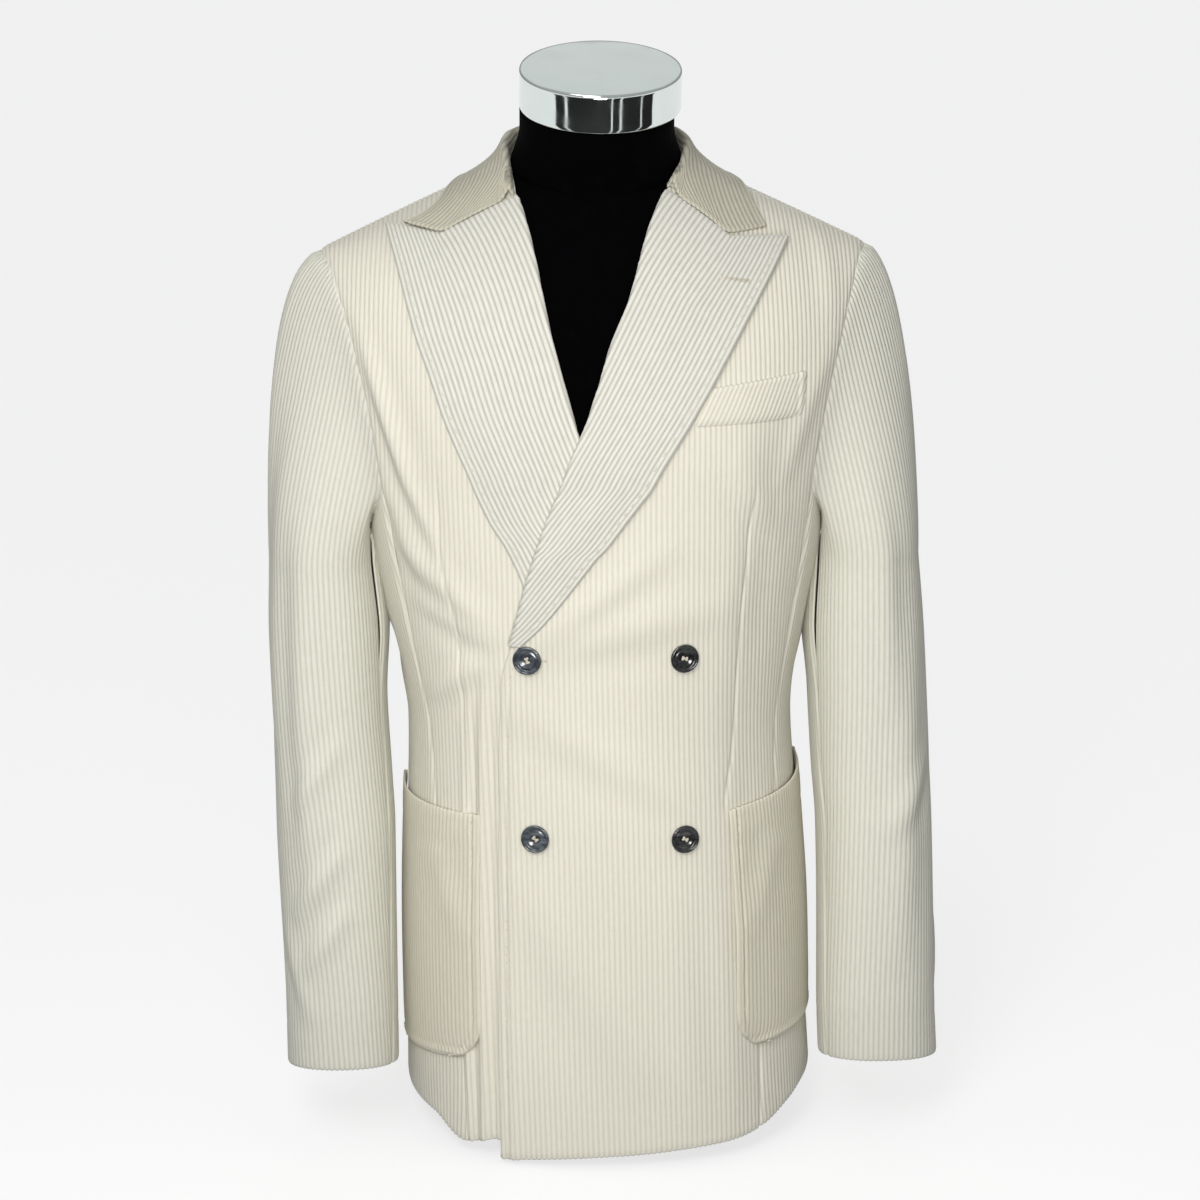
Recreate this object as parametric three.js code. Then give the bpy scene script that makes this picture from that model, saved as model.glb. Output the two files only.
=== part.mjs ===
// Double breasted blazer in wide corduroy, worn by a limbless dress form.
// Millimetres, +Z up. The garment faces -Y, so the wearer's left is at +X.
// The origin is on the floor, under the form's flat base.

import * as THREE from 'three';

// Cloth
const WALL = 2;            // one layer of corduroy
const SEAM = 0.3;          // gap between pieces sewn edge to edge
const LAYER = 0.9;         // gap between a panel and what lies on it
const REST = 2.2;          // the form's facets stay this far inside the cloth's

// Main levels and widths of the worn garment
const UNDERARM = 560;      // level where the trunk starts to close in
const RIDGE = 800;         // level given to the shoulder line
const RIDGE_HALF = 232;    // half the trunk's width at the shoulder line
const RIDGE_Y = 6;         // the shoulder line lies a little behind the middle
const SHOULDER_Z = 729.5;  // height of the shoulder line at SHOULDER_X
const SHOULDER_X = 208;
const SHOULDER_SLOPE = 0.475;
const NECK_SOFTEN = 35;    // rounds the shoulder line off under the neck
const NECK_MIDDLE = -6;    // the shoulder line is highest here
const SQUARENESS = 2.4;    // exponent of the trunk's oval, 2 is an ellipse
const BACK_FULLNESS = 0.2; // how much fuller the upper back is than the chest
const ARMHOLE_FOOT = 547;  // level where the side seams meet the armhole
const SLEEVE_TOP = 480;    // level where the sleeve hangs as a plain tube

// Trims
const BUTTON_RADIUS = 11.3;
const BUTTON_THICK = 3;
const CAP_RADIUS = 63.3;
const CAP_HEIGHT = 32;
const NECK_RADIUS = 60.5;

// A table has named columns. Its first column is what the others are read by,
// on a smooth curve through the rows that never swings past them.
function table(names, rows) {
  const keys = names.split(' ');
  const step = (column, i) => (rows[i + 1][column] - rows[i][column]) / (rows[i + 1][0] - rows[i][0]);
  const slope = (column, i) => {
    if (i === 0) return step(column, 0);
    if (i === rows.length - 1) return step(column, i - 1);
    const before = step(column, i - 1);
    const after = step(column, i);
    return before * after > 0 ? (2 * before * after) / (before + after) : 0;
  };
  return (name, at) => {
    const column = keys.indexOf(name);
    const x = Math.min(Math.max(at, rows[0][0]), rows[rows.length - 1][0]);
    let i = 0;
    while (i < rows.length - 2 && x > rows[i + 1][0]) i += 1;
    const span = rows[i + 1][0] - rows[i][0];
    const t = (x - rows[i][0]) / span;
    const a = rows[i][column];
    const b = rows[i + 1][column];
    const curve = (2 * t ** 3 - 3 * t ** 2 + 1) * a + (3 * t ** 2 - 2 * t ** 3) * b;
    const bend = (t ** 3 - 2 * t ** 2 + t) * slope(column, i) + (t ** 3 - t ** 2) * slope(column, i + 1);
    return curve + bend * span;
  };
}

// The trunk's ovals, up to the underarm: half width, depth to the front and
// to the back, and how far the middle lies to the side.
const body = table('height half front back shift', [
  [0, 168, 140, 130, 4],
  [100, 164, 141, 133, 1],
  [200, 161, 141, 133, -1],
  [280, 157, 140, 128, -3],
  [350, 154, 139, 121, -5],
  [430, 165, 139, 116, -7],
  [500, 179, 139, 120, -8],
  [560, 190, 137, 124, -9],
]);

// Angles run round the trunk in degrees: 0 at the centre front, + to the
// wearer's left, 180 at the centre back. Each seam is an angle for each level.
const overEdge = table('height angle', [
  [0, -29], [140, -28.7], [341, -27.9], [408, -24.5], [429, -21.6], [456, -18], [494, -13.6],
  [536, -8.9], [566, -5.1], [578, -2.9], [595, -0.9], [624, 1.2], [655, 4.6], [698, 7.6],
  [731, 10.3], [765, 12], [800, 12.8],
]);
const underEdge = table('height angle', [
  [0, -22], [400, -22], [440, -20], [490, -13], [540, -5], [578, 3.1], [601, 5.1], [625, 7.1],
  [649, 8.6], [685, 10.1], [733, 12.2], [765, 12.6], [800, 12.8],
]);
const frontSeam = table('height angle', [
  [0, 41], [100, 43], [200, 50], [300, 57], [430, 62], [547, 60.5],
]);
const armholeFront = table('height angle', [
  [547, 60.5], [576, 59.6], [640, 60], [706, 61.2], [769, 64], [800, 66.4],
]);
const armholeBack = table('height angle', [
  [547, 121], [580, 124], [640, 124.5], [706, 121], [769, 116], [800, 113.6],
]);
const backSeam = table('height angle', [
  [0, 132], [200, 128], [430, 122], [547, 121],
]);
const backNeck = table('height angle', [
  [0, 180], [727, 180], [745, 173], [765, 169], [785, 167.6], [800, 167.2],
]);

// Height of the hem for each angle.
const overHem = table('angle height', [
  [-30, 4], [-14, 8], [0, 11], [15, 14.5], [31, 17], [40, 20], [55, 33], [70, 42],
  [100, 46], [130, 38], [180, 33],
]);
const underHem = table('angle height', [
  [-180, 33], [-130, 37], [-90, 34], [-58, 28], [-43, 12], [-31, 19], [-15, 20], [30, 22],
]);
const HEM_BLEND = 70;      // the hem's wave has died out at this level

// How far the overlapping front stands off, over what lies under it.
const overLift = table('height most', [
  [0, 1], [360, 1], [420, 1.35], [470, 2.2], [560, 2.2], [600, 1.3], [650, 0], [800, 0],
]);
const UNDER_STACK = WALL + LAYER;   // one hidden layer
const LIFT_FROM = 27;               // the lift fades out between these angles
const LIFT_TO = 44;

// Levels of the rows that panels share along their seams.
const TRUNK_ROWS = [0, 20, 60, 110, 170, 230, 290, 345, 395, 440, 480, 515, ARMHOLE_FOOT];
const YOKE_ROWS = [575, 605, 640, 675, 708, 738, 764, 785, RIDGE];
const ROWS = [...TRUNK_ROWS, ...YOKE_ROWS];
const FRONT_COLUMNS = 12;
const BACK_COLUMNS = 8;

const radians = (degrees) => degrees * Math.PI / 180;
const mix = (a, b, t) => a + (b - a) * t;
const smooth = (a, b, x) => {
  const t = Math.min(Math.max((x - a) / (b - a), 0), 1);
  return t * t * (3 - 2 * t);
};
const signedPower = (value, power) => Math.sign(value) * Math.abs(value) ** power;

function shoulderHeight(x) {
  return SHOULDER_Z + (SHOULDER_X - Math.hypot(x - NECK_MIDDLE, NECK_SOFTEN)) * SHOULDER_SLOPE;
}

// The inside face of the cloth. Up to the underarm a level is a height. Above
// it the levels close in over the shoulders, up to the ridge.
function trunk(angle, level) {
  const low = Math.min(level, UNDERARM);
  const climb = Math.min(Math.max((level - UNDERARM) / (RIDGE - UNDERARM), 0), 1) * Math.PI / 2;
  const round = 2 / SQUARENESS;
  const fullness = 1 - BACK_FULLNESS * smooth(90, 150, Math.abs(angle));
  const half = mix(body('half', low), RIDGE_HALF, Math.sin(climb) * (level > UNDERARM ? 1 : 0));
  const x = body('shift', low) + half * signedPower(Math.sin(radians(angle)), round);
  const facing = Math.cos(radians(angle));
  const depth = facing > 0 ? -body('front', low) : body('back', low);
  const flat = depth * Math.abs(facing) ** round;
  const inward = 1 - Math.max(Math.cos(climb), 0) ** fullness;
  const z = level > UNDERARM
    ? mix(UNDERARM, shoulderHeight(x), Math.sin(climb) ** fullness)
    : level;
  return new THREE.Vector3(x, mix(flat, RIDGE_Y, inward), z);
}

function trunkNormal(angle, level) {
  const step = 0.4;
  const top = Math.min(level, RIDGE - 4);
  const round = trunk(angle + step, top).sub(trunk(angle - step, top));
  const up = trunk(angle, top + step * 4).sub(trunk(angle, top - step * 4));
  const facing = round.cross(up).normalize();
  const ridge = new THREE.Vector3(SHOULDER_SLOPE * Math.sign(Math.sin(radians(angle))), 0, 1).normalize();
  return facing.lerp(ridge, smooth(RIDGE - 40, RIDGE, level)).normalize();
}

// A point that lies "out" from the inside face of the cloth.
function skin(angle, level, out) {
  return trunk(angle, level).addScaledVector(trunkNormal(angle, level), out);
}

// Height of the shoulders' inside face over a place in plan.
function shouldersOver(x, y) {
  let low = UNDERARM;
  let high = RIDGE;
  let found = null;
  for (let i = 0; i < 26; i += 1) {
    const level = (low + high) / 2;
    const climb = (level - UNDERARM) / (RIDGE - UNDERARM) * Math.PI / 2;
    const half = mix(body('half', UNDERARM), RIDGE_HALF, Math.sin(climb));
    const across = Math.min(Math.abs(x - body('shift', UNDERARM)) / half, 1);
    const turn = Math.asin(across ** (SQUARENESS / 2)) * 180 / Math.PI;
    const angle = (y > RIDGE_Y ? 180 - turn : turn) * Math.sign(x - body('shift', UNDERARM));
    found = trunk(angle, level);
    if (Math.abs(found.y - RIDGE_Y) > Math.abs(y - RIDGE_Y)) low = level;
    else high = level;
  }
  return Math.min(found.z, shoulderHeight(x));
}

// Turns a grid of outer points and a grid of inner points into one closed body.
function closedWall(outer, inner, ring) {
  const rows = outer.length;
  const columns = outer[0].length;
  const position = [];
  for (const grid of [outer, inner]) {
    for (const row of grid) {
      for (const p of row) position.push(p.x, p.y, p.z);
    }
  }
  const at = (side, r, c) => side * rows * columns + r * columns + (c % columns);
  const faces = [];
  const quad = (a, b, c, d) => faces.push(a, b, c, a, c, d);
  const spans = ring ? columns : columns - 1;
  for (let r = 0; r < rows - 1; r += 1) {
    for (let c = 0; c < spans; c += 1) {
      quad(at(0, r, c), at(0, r, c + 1), at(0, r + 1, c + 1), at(0, r + 1, c));
      quad(at(1, r, c), at(1, r + 1, c), at(1, r + 1, c + 1), at(1, r, c + 1));
    }
  }
  for (let c = 0; c < spans; c += 1) {
    quad(at(0, 0, c + 1), at(0, 0, c), at(1, 0, c), at(1, 0, c + 1));
    quad(at(0, rows - 1, c), at(0, rows - 1, c + 1), at(1, rows - 1, c + 1), at(1, rows - 1, c));
  }
  if (!ring) {
    for (let r = 0; r < rows - 1; r += 1) {
      const end = columns - 1;
      quad(at(0, r, 0), at(0, r + 1, 0), at(1, r + 1, 0), at(1, r, 0));
      quad(at(0, r + 1, end), at(0, r, end), at(1, r, end), at(1, r + 1, end));
    }
  }
  return facingOut(position, faces);
}

// A solid of stacked rings, with a flat fan at its bottom and at its top.
function stackedSolid(rings) {
  const columns = rings[0].length;
  const position = [];
  for (const row of rings) {
    for (const p of row) position.push(p.x, p.y, p.z);
  }
  const faces = [];
  for (let r = 0; r < rings.length - 1; r += 1) {
    for (let c = 0; c < columns; c += 1) {
      const a = r * columns + c;
      const b = r * columns + (c + 1) % columns;
      faces.push(a, b, b + columns, a, b + columns, a + columns);
    }
  }
  const last = (rings.length - 1) * columns;
  for (let c = 1; c < columns - 1; c += 1) {
    faces.push(0, c + 1, c, last, last + c, last + c + 1);
  }
  return facingOut(position, faces);
}

function facingOut(position, faces) {
  const point = (i) => new THREE.Vector3(position[3 * i], position[3 * i + 1], position[3 * i + 2]);
  let volume = 0;
  for (let i = 0; i < faces.length; i += 3) {
    volume += point(faces[i]).dot(point(faces[i + 1]).cross(point(faces[i + 2])));
  }
  const order = volume < 0 ? faces.slice().reverse() : faces;
  const geometry = new THREE.BufferGeometry();
  geometry.setAttribute('position', new THREE.Float32BufferAttribute(position, 3));
  geometry.setIndex(order);
  geometry.computeVertexNormals();
  return geometry;
}

// Gives a single grid of points its thickness, "toOuter" to one side and the
// rest of the wall to the other. The normals come from the grid itself.
function thickened(grid, ring, toOuter, toInner) {
  const rows = grid.length;
  const columns = grid[0].length;
  const wrap = (c) => (ring ? (c + columns) % columns : Math.min(Math.max(c, 0), columns - 1));
  const clampRow = (r) => Math.min(Math.max(r, 0), rows - 1);
  const shifted = (distance) => grid.map((row, r) => row.map((p, c) => {
    const across = grid[r][wrap(c + 1)].clone().sub(grid[r][wrap(c - 1)]);
    const along = grid[clampRow(r + 1)][c].clone().sub(grid[clampRow(r - 1)][c]);
    return p.clone().addScaledVector(across.cross(along).normalize(), distance);
  }));
  return closedWall(shifted(toOuter), shifted(-toInner), ring);
}

const cloth = (colour) => new THREE.MeshStandardMaterial({ color: colour, roughness: 0.9, metalness: 0 });
const FRONT_CLOTH = cloth(0xe2dfce);
const SIDE_CLOTH = cloth(0xd7d7ce);
const SLEEVE_CLOTH = cloth(0xdcdcca);
const COLLAR_CLOTH = cloth(0xc9c7b5);
const LAPEL_CLOTH = cloth(0xdedccd);
const POCKET_CLOTH = cloth(0xccc9b8);
const JERSEY = new THREE.MeshStandardMaterial({ color: 0x0b0b0c, roughness: 0.8, metalness: 0 });
const CHROME = new THREE.MeshStandardMaterial({ color: 0xc0c9c6, roughness: 0.12, metalness: 1 });
const HORN = new THREE.MeshStandardMaterial({ color: 0x6d6a63, roughness: 0.3, metalness: 0 });

const blazer = new THREE.Group();

function add(name, geometry, material) {
  const mesh = new THREE.Mesh(geometry, material);
  mesh.name = name;
  blazer.add(mesh);
  return mesh;
}

// Degrees that one seam's half gap takes up at this place.
function seamAngle(angle, level) {
  const step = 1;
  return step * (SEAM / 2) / trunk(angle + step, level).distanceTo(trunk(angle, level));
}

// The hem's own height at the bottom, and plain levels higher up.
function hemmed(angle, level, side) {
  const edge = side > 0 ? overHem('height', angle) : underHem('height', angle);
  return level < HEM_BLEND ? edge + (level / HEM_BLEND) * (HEM_BLEND - edge) : level;
}

function panelPoint(angle, level, side, out) {
  return skin(angle, hemmed(angle, Math.min(level, RIDGE - 0.2), side), out);
}

// How far the overlapping front's inside face stands off the trunk.
function liftAt(angle, level) {
  return overLift('most', level) * UNDER_STACK * (1 - smooth(LIFT_FROM, LIFT_TO, angle));
}

// A panel between two edges, in rows that its neighbours share.
function panel(rows, columns, from, to, side, lift) {
  const grid = (extra) => rows.map((level) => {
    const a = from(level);
    const b = to(level);
    return Array.from({ length: columns + 1 }, (_, c) => {
      const angle = mix(a, b, c / columns);
      return panelPoint(angle, level, side, lift(angle, level) + extra);
    });
  });
  return closedWall(grid(WALL), grid(0), false);
}

// Outer edge of a front, and of a back: the side seam, then the armhole.
function frontOuter(level) {
  const angle = level <= ARMHOLE_FOOT ? frontSeam('angle', level) : armholeFront('angle', level);
  return angle - seamAngle(angle, level);
}

function backOuter(level) {
  const angle = level <= ARMHOLE_FOOT ? backSeam('angle', level) : armholeBack('angle', level);
  return angle + seamAngle(angle, level);
}

function fronts() {
  const overFree = (level) => overEdge('angle', level);
  add('front_left', panel(ROWS, FRONT_COLUMNS, overFree, frontOuter, 1, liftAt), FRONT_CLOTH);
  const underFree = (level) => -underEdge('angle', level);
  const underSeam = (level) => -frontOuter(level);
  add('front_right', panel(ROWS, FRONT_COLUMNS, underFree, underSeam, -1, () => 0), FRONT_CLOTH);
}

function backs() {
  for (const side of [1, -1]) {
    const inner = (level) => side * (backNeck('angle', level) - seamAngle(180, level));
    const outer = (level) => side * backOuter(level);
    const shape = panel(ROWS, BACK_COLUMNS, outer, inner, side, () => 0);
    add(side > 0 ? 'back_left' : 'back_right', shape, SIDE_CLOTH);
  }
}

// The side panels end in the hollow of the armhole. Their rows keep to their
// neighbours' levels up to a place below it, and then follow the hollow.
const HOLLOW_FROM = 440;
const SIDE_COLUMNS = 8;
const hollow = table('share level', [
  [0, ARMHOLE_FOOT], [0.15, 527], [0.35, 510], [0.5, 506], [0.65, 509], [0.85, 526], [1, ARMHOLE_FOOT],
]);

function sideAngle(share, level) {
  const a = frontSeam('angle', level);
  const b = backSeam('angle', level);
  return mix(a + seamAngle(a, level), b - seamAngle(b, level), share);
}

function sideLevel(share, level) {
  if (level <= HOLLOW_FROM) return level;
  const climb = (level - HOLLOW_FROM) / (ARMHOLE_FOOT - HOLLOW_FROM);
  return mix(HOLLOW_FROM, hollow('level', share), climb);
}

function sides() {
  for (const side of [1, -1]) {
    const grid = (out) => TRUNK_ROWS.map((level) => Array.from({ length: SIDE_COLUMNS + 1 }, (_, c) => {
      const share = c / SIDE_COLUMNS;
      return panelPoint(side * sideAngle(share, level), sideLevel(share, level), side, out);
    }));
    add(side > 0 ? 'side_left' : 'side_right', closedWall(grid(WALL), grid(0), false), SIDE_CLOTH);
  }
}

// The sleeve below the armpit: how far out and in it reaches from the trunk's
// middle line, and to the front and back. "lead" is how much its front edge
// is higher than its middle, because it swings forward.
const leftSleeve = table('height out in front back', [
  [60, 273.5, 176, -94, -2],
  [110, 270.5, 174, -96, 2],
  [177, 268.5, 173.5, -95, 10],
  [256, 266, 172, -92, 22],
  [302, 264, 168.5, -89, 32],
  [365, 261, 165, -86, 44],
  [420, 258, 163, -82, 54],
  [SLEEVE_TOP, 253, 166, -77, 66],
]);
const rightSleeve = table('height out in front back', [
  [60, 264, 173, -94, -2],
  [110, 264, 173, -96, 2],
  [177, 266, 173, -95, 10],
  [256, 268.7, 173, -92, 22],
  [302, 269.5, 175, -89, 32],
  [365, 270.5, 178, -86, 44],
  [420, 271, 178.5, -82, 54],
  [SLEEVE_TOP, 269, 184, -77, 66],
]);
const SLEEVE_LEVELS = [SLEEVE_TOP, 450, 420, 390, 355, 320, 280, 235, 185, 140, 100, 60];
const SLEEVE_TILT = 0.18;  // a cuff is this much higher at its front
const CAP_STEPS = [0, 0.12, 0.27, 0.45, 0.64, 0.82];
const SLEEVE_CLEAR = 1.2;  // the sleeve keeps this much off the trunk
const POCKET_CLEAR = 4.4;  // and more over the patch pockets
const SLEEVE_ROUND = 2.2;    // exponent of the sleeve's oval
const CAP_FULL_LEFT = 0.44;  // how far the sleeve head bulges before it falls
const CAP_FULL_RIGHT = 0.62;

// The armhole as a ring: from the top down the front, under the arm, and up
// the back. Each point knows the way out of the panel, square to the seam.
function armholeRing(side, out) {
  const spots = [];
  for (let i = YOKE_ROWS.length - 1; i >= 0; i -= 1) {
    spots.push([armholeFront('angle', YOKE_ROWS[i]), YOKE_ROWS[i]]);
  }
  for (let c = 0; c <= SIDE_COLUMNS; c += 1) {
    const share = c / SIDE_COLUMNS;
    spots.push([sideAngle(share, ARMHOLE_FOOT), hollow('level', share)]);
  }
  for (let i = 0; i < YOKE_ROWS.length - 1; i += 1) {
    spots.push([armholeBack('angle', YOKE_ROWS[i]), YOKE_ROWS[i]]);
  }
  const place = ([angle, level]) => skin(side * angle, Math.min(level, RIDGE - 0.2), out);
  const points = spots.map(place);
  const count = points.length;
  return points.map((p, i) => {
    const along = points[(i + 1) % count].clone().sub(points[(i + count - 1) % count]).normalize();
    const facing = trunkNormal(side * spots[i][0], Math.min(spots[i][1], RIDGE - 4));
    const away = facing.clone().cross(along).multiplyScalar(side).normalize();
    return { place: p, away };
  });
}

// Share of the way round the ring, by length, for each of its points.
function ringShares(ring) {
  const lengths = ring.map((spot, i) => spot.place.distanceTo(ring[(i + 1) % ring.length].place));
  const whole = lengths.reduce((a, b) => a + b, 0);
  let run = 0;
  return lengths.map((length) => {
    const share = run / whole;
    run += length;
    return share;
  });
}

// Keeps a sleeve point clear of the trunk's side.
function besideTrunk(p, side) {
  const level = Math.min(Math.max(p.z, 0), UNDERARM);
  const pocket = smooth(40, 60, p.z) * (1 - smooth(300, 325, p.z));
  const clear = WALL + SLEEVE_CLEAR + POCKET_CLEAR * pocket;
  const depth = (p.y < 0 ? body('front', level) : body('back', level)) + clear;
  const share = Math.min(Math.abs(p.y) / depth, 1);
  const half = (body('half', level) + clear) * (1 - share ** SQUARENESS) ** (1 / SQUARENESS);
  const limit = half + side * body('shift', level);
  if (side * p.x < limit) p.x = side * limit;
  return p;
}

function sleeveRingPoint(measures, side, height, turn) {
  const middle = (measures('out', height) + measures('in', height)) / 2;
  const half = (measures('out', height) - measures('in', height)) / 2;
  const centre = (measures('front', height) + measures('back', height)) / 2;
  const depth = (measures('back', height) - measures('front', height)) / 2;
  const across = signedPower(Math.cos(turn), 2 / SLEEVE_ROUND);
  const forward = signedPower(Math.sin(turn), 2 / SLEEVE_ROUND);
  const y = centre - depth * forward;
  const tilt = SLEEVE_TILT * (1 - smooth(100, 420, height));
  const x = side * (middle + half * across);
  return besideTrunk(new THREE.Vector3(x, y, height + tilt * (centre - y)), side);
}

// The outer face of a whole sleeve, as rows of points from armhole to cuff.
function sleeveRows(side) {
  const measures = side > 0 ? leftSleeve : rightSleeve;
  const bulge = side > 0 ? CAP_FULL_LEFT : CAP_FULL_RIGHT;
  const ring = armholeRing(side, WALL);
  const shares = ringShares(ring);
  const rows = CAP_STEPS.map((t) => ring.map((spot, i) => {
    const end = sleeveRingPoint(measures, side, SLEEVE_TOP, shares[i] * 2 * Math.PI);
    const start = spot.place.clone().addScaledVector(spot.away, SEAM);
    const reach = start.distanceTo(end);
    const p = start.clone().multiplyScalar(2 * t ** 3 - 3 * t ** 2 + 1);
    p.addScaledVector(spot.away, (t ** 3 - 2 * t ** 2 + t) * reach * bulge);
    p.addScaledVector(end, 3 * t ** 2 - 2 * t ** 3);
    p.addScaledVector(new THREE.Vector3(0, 0, -1), (t ** 3 - t ** 2) * reach * 0.9);
    return t > 0 ? besideTrunk(p, side) : p;
  }));
  for (const height of SLEEVE_LEVELS) {
    rows.push(shares.map((share) => sleeveRingPoint(measures, side, height, share * 2 * Math.PI)));
  }
  return rows;
}

// The inner face: a wall's thickness inside, and on the panels' own at the top.
function sleeveInside(side, rows) {
  const count = rows[0].length;
  const inside = rows.map((row, r) => row.map((p, c) => {
    const across = row[(c + 1) % count].clone().sub(row[(c + count - 1) % count]);
    const above = rows[Math.max(r - 1, 0)][c];
    const along = rows[Math.min(r + 1, rows.length - 1)][c].clone().sub(above);
    return p.clone().addScaledVector(across.cross(along).normalize(), -side * WALL);
  }));
  inside[0] = armholeRing(side, 0).map((spot) => spot.place.clone().addScaledVector(spot.away, SEAM));
  return inside;
}

// Each sleeve is sewn from a wide top sleeve and a narrower under sleeve. The
// seams run down its inner front and its back.
const SLEEVE_SEAM = 0.55;    // each edge stays back this far from the seam
const FRONT_SEAM_SPOT = 11;
const BACK_SEAM_SPOT = 19;

function sleevePart(rows, from, to) {
  const count = rows[0].length;
  return rows.map((row) => {
    const spots = [];
    for (let i = from; i <= to; i += 1) spots.push(row[(i + count) % count].clone());
    const ends = [[0, 1], [spots.length - 1, spots.length - 2]];
    for (const [end, next] of ends) {
      const step = spots[next].clone().sub(spots[end]);
      spots[end].addScaledVector(step, SLEEVE_SEAM / step.length());
    }
    return spots;
  });
}

function sleeves() {
  for (const side of [1, -1]) {
    const outer = sleeveRows(side);
    const inner = sleeveInside(side, outer);
    const where = side > 0 ? 'left' : 'right';
    const kinds = [
      ['top_sleeve', BACK_SEAM_SPOT - outer[0].length, FRONT_SEAM_SPOT],
      ['under_sleeve', FRONT_SEAM_SPOT, BACK_SEAM_SPOT],
    ];
    for (const [name, from, to] of kinds) {
      const shape = closedWall(sleevePart(outer, from, to), sleevePart(inner, from, to), false);
      add(`${name}_${where}`, shape, SLEEVE_CLOTH);
    }
  }
}

// A lapel is folded back along the roll line, which is the front's own edge.
// Its rows run from that fold to its outer edge. "fold" and "edge" are angles.
const leftLapel = table('height fold edge', [
  [429, -21.6, -21.1], [456, -18, -11.6], [494, -13.6, -3.1], [536, -8.9, 3.5], [566, -5.1, 9.2],
  [595, -0.9, 16.2], [624, 1.2, 22.2], [655, 4.6, 27.5], [698, 7.6, 33.2], [731, 10.3, 36.4],
]);
const rightLapel = table('height fold edge', [
  [462, 14.5, 15.5], [480, 12, 16], [513, 9, 19.4], [534, 7, 23], [566, 2.5, 27], [578, 3.1, 29],
  [601, 5.1, 32.2], [625, 7.1, 34.3], [649, 8.6, 36.4], [685, 10.1, 38.4], [733, 12.2, 40],
]);
// The top edge of each lapel: the gorge seam falls from the fold to the notch,
// and the peak rises from there. "share" is the share of the way to the edge.
const leftTop = { gorge: 731, notchShare: 0.47, notch: 709.5, tip: 729, tipLift: 0 };
const rightTop = { gorge: 733, notchShare: 0.56, notch: 724, tip: 757, tipLift: 4 };
const LAPEL_SHARES = [0.05, 0.11, 0.2, 0.32, 0.47, 0.56, 0.66, 0.78, 0.9, 1];
const LAPEL_MIDDLE = WALL + LAYER + WALL / 2;
const EDGE_RISE = 2.2;     // a lapel's outer edge stands off this much more
const TOP_FROM = 655;      // above this level the rows lean into the top edge

function lapelTop(top, share) {
  if (share < top.notchShare) return mix(top.gorge, top.notch, share / top.notchShare);
  return mix(top.notch, top.tip, (share - top.notchShare) / (1 - top.notchShare));
}

// The middle of the lapel's cloth at a share of its width.
function lapelSpot(measures, top, side, share, level) {
  const rise = Math.max((level - TOP_FROM) / (top.gorge - TOP_FROM), 0);
  const at = level + rise * (lapelTop(top, share) - top.gorge);
  const angle = mix(measures('fold', level), measures('edge', level), share);
  const stand = side > 0 ? liftAt(angle, at) : 0;
  const out = stand + LAPEL_MIDDLE + EDGE_RISE * share ** 3 * smooth(470, 560, level);
  const tip = top.tipLift * smooth(top.notchShare, 1, share) * smooth(690, 731, level);
  return skin(side * angle, at, out + tip);
}

// Across the fold the cloth turns round the front's edge. These are the steps
// of that turn: beyond the edge, and out from the front's inside face.
const FOLD_TURN = [[2.1, 0.9], [2.5, 2.3], [1.8, 3.8]];
const HIDDEN_FOLD = 600;   // below this the right lapel's fold lies on its front
const LAPEL_LEVELS = [602, 624, 649, 672, 696, 715];

function lapels() {
  const kinds = [
    ['lapel_left', leftLapel, leftTop, 1, [438, 446, 458, 475, 494, 515, 536, 558, 580]],
    ['lapel_right', rightLapel, rightTop, -1, [462, 472, 484, 500, 516, 534, 556, 578]],
  ];
  for (const [name, measures, top, side, levels] of kinds) {
    const grid = [...levels, ...LAPEL_LEVELS, top.gorge].map((level) => {
      const fold = measures('fold', level);
      const nearFold = skin(side * fold, level, 0);
      const beyond = skin(side * (fold - 1), level, 0).sub(nearFold).normalize();
      const stand = side > 0 ? liftAt(fold, level) : 0;
      const free = side > 0 ? 1 : smooth(HIDDEN_FOLD - 25, HIDDEN_FOLD, level);
      const turn = FOLD_TURN.map(([away, out]) => {
        const rise = stand + mix(LAPEL_MIDDLE, out, free);
        return skin(side * fold, level, rise).addScaledVector(beyond, away);
      });
      const flat = LAPEL_SHARES.map((share) => lapelSpot(measures, top, side, share, level));
      return [...turn, ...flat];
    });
    add(name, thickened(grid, false, side * WALL / 2, side * WALL / 2), LAPEL_CLOTH);
  }
}

// The neck of the jacket in plan, from the centre back, 0, to where the collar
// meets the lapel, 1: half its width, how far back, where its middle lies, how
// high the collar's fold stands over the panels, and the fall's outer edge.
const neckline = table('turn half y centre stand edgeHalf edgeY', [
  [0, 0, 73, -7, 29, 0, 88],
  [0.2, 34, 66, -7, 26, 46, 82],
  [0.4, 60, 44, -7, 19, 86, 62],
  [0.6, 69, 8, -7, 11, 112, 14],
  [0.8, 66, -27, -9, 7, 121, -18],
  [1, 60, -52, -13.5, 3, 130, -45],
]);
const COLLAR_TURNS = [1, 0.97, 0.92, 0.86, 0.78, 0.7, 0.6, 0.5, 0.4, 0.3, 0.2, 0.1];
const FALL_SHARES = [0.12, 0.28, 0.45, 0.62, 0.8, 1];
const COLLAR_CLEAR = WALL + LAYER + WALL / 2;

// Keeps a collar point over the panels it lies on, square to their slope.
const STEEPEST = 2.6;
function overShoulders(p, clear) {
  const step = 3;
  const height = shouldersOver(p.x, p.y);
  const sideways = (shouldersOver(p.x + step, p.y) - height) / step;
  const backward = (shouldersOver(p.x, p.y + step) - height) / step;
  const floor = height + clear * Math.min(Math.hypot(1, sideways, backward), STEEPEST);
  if (p.z < floor) p.z = floor;
  return p;
}

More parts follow.
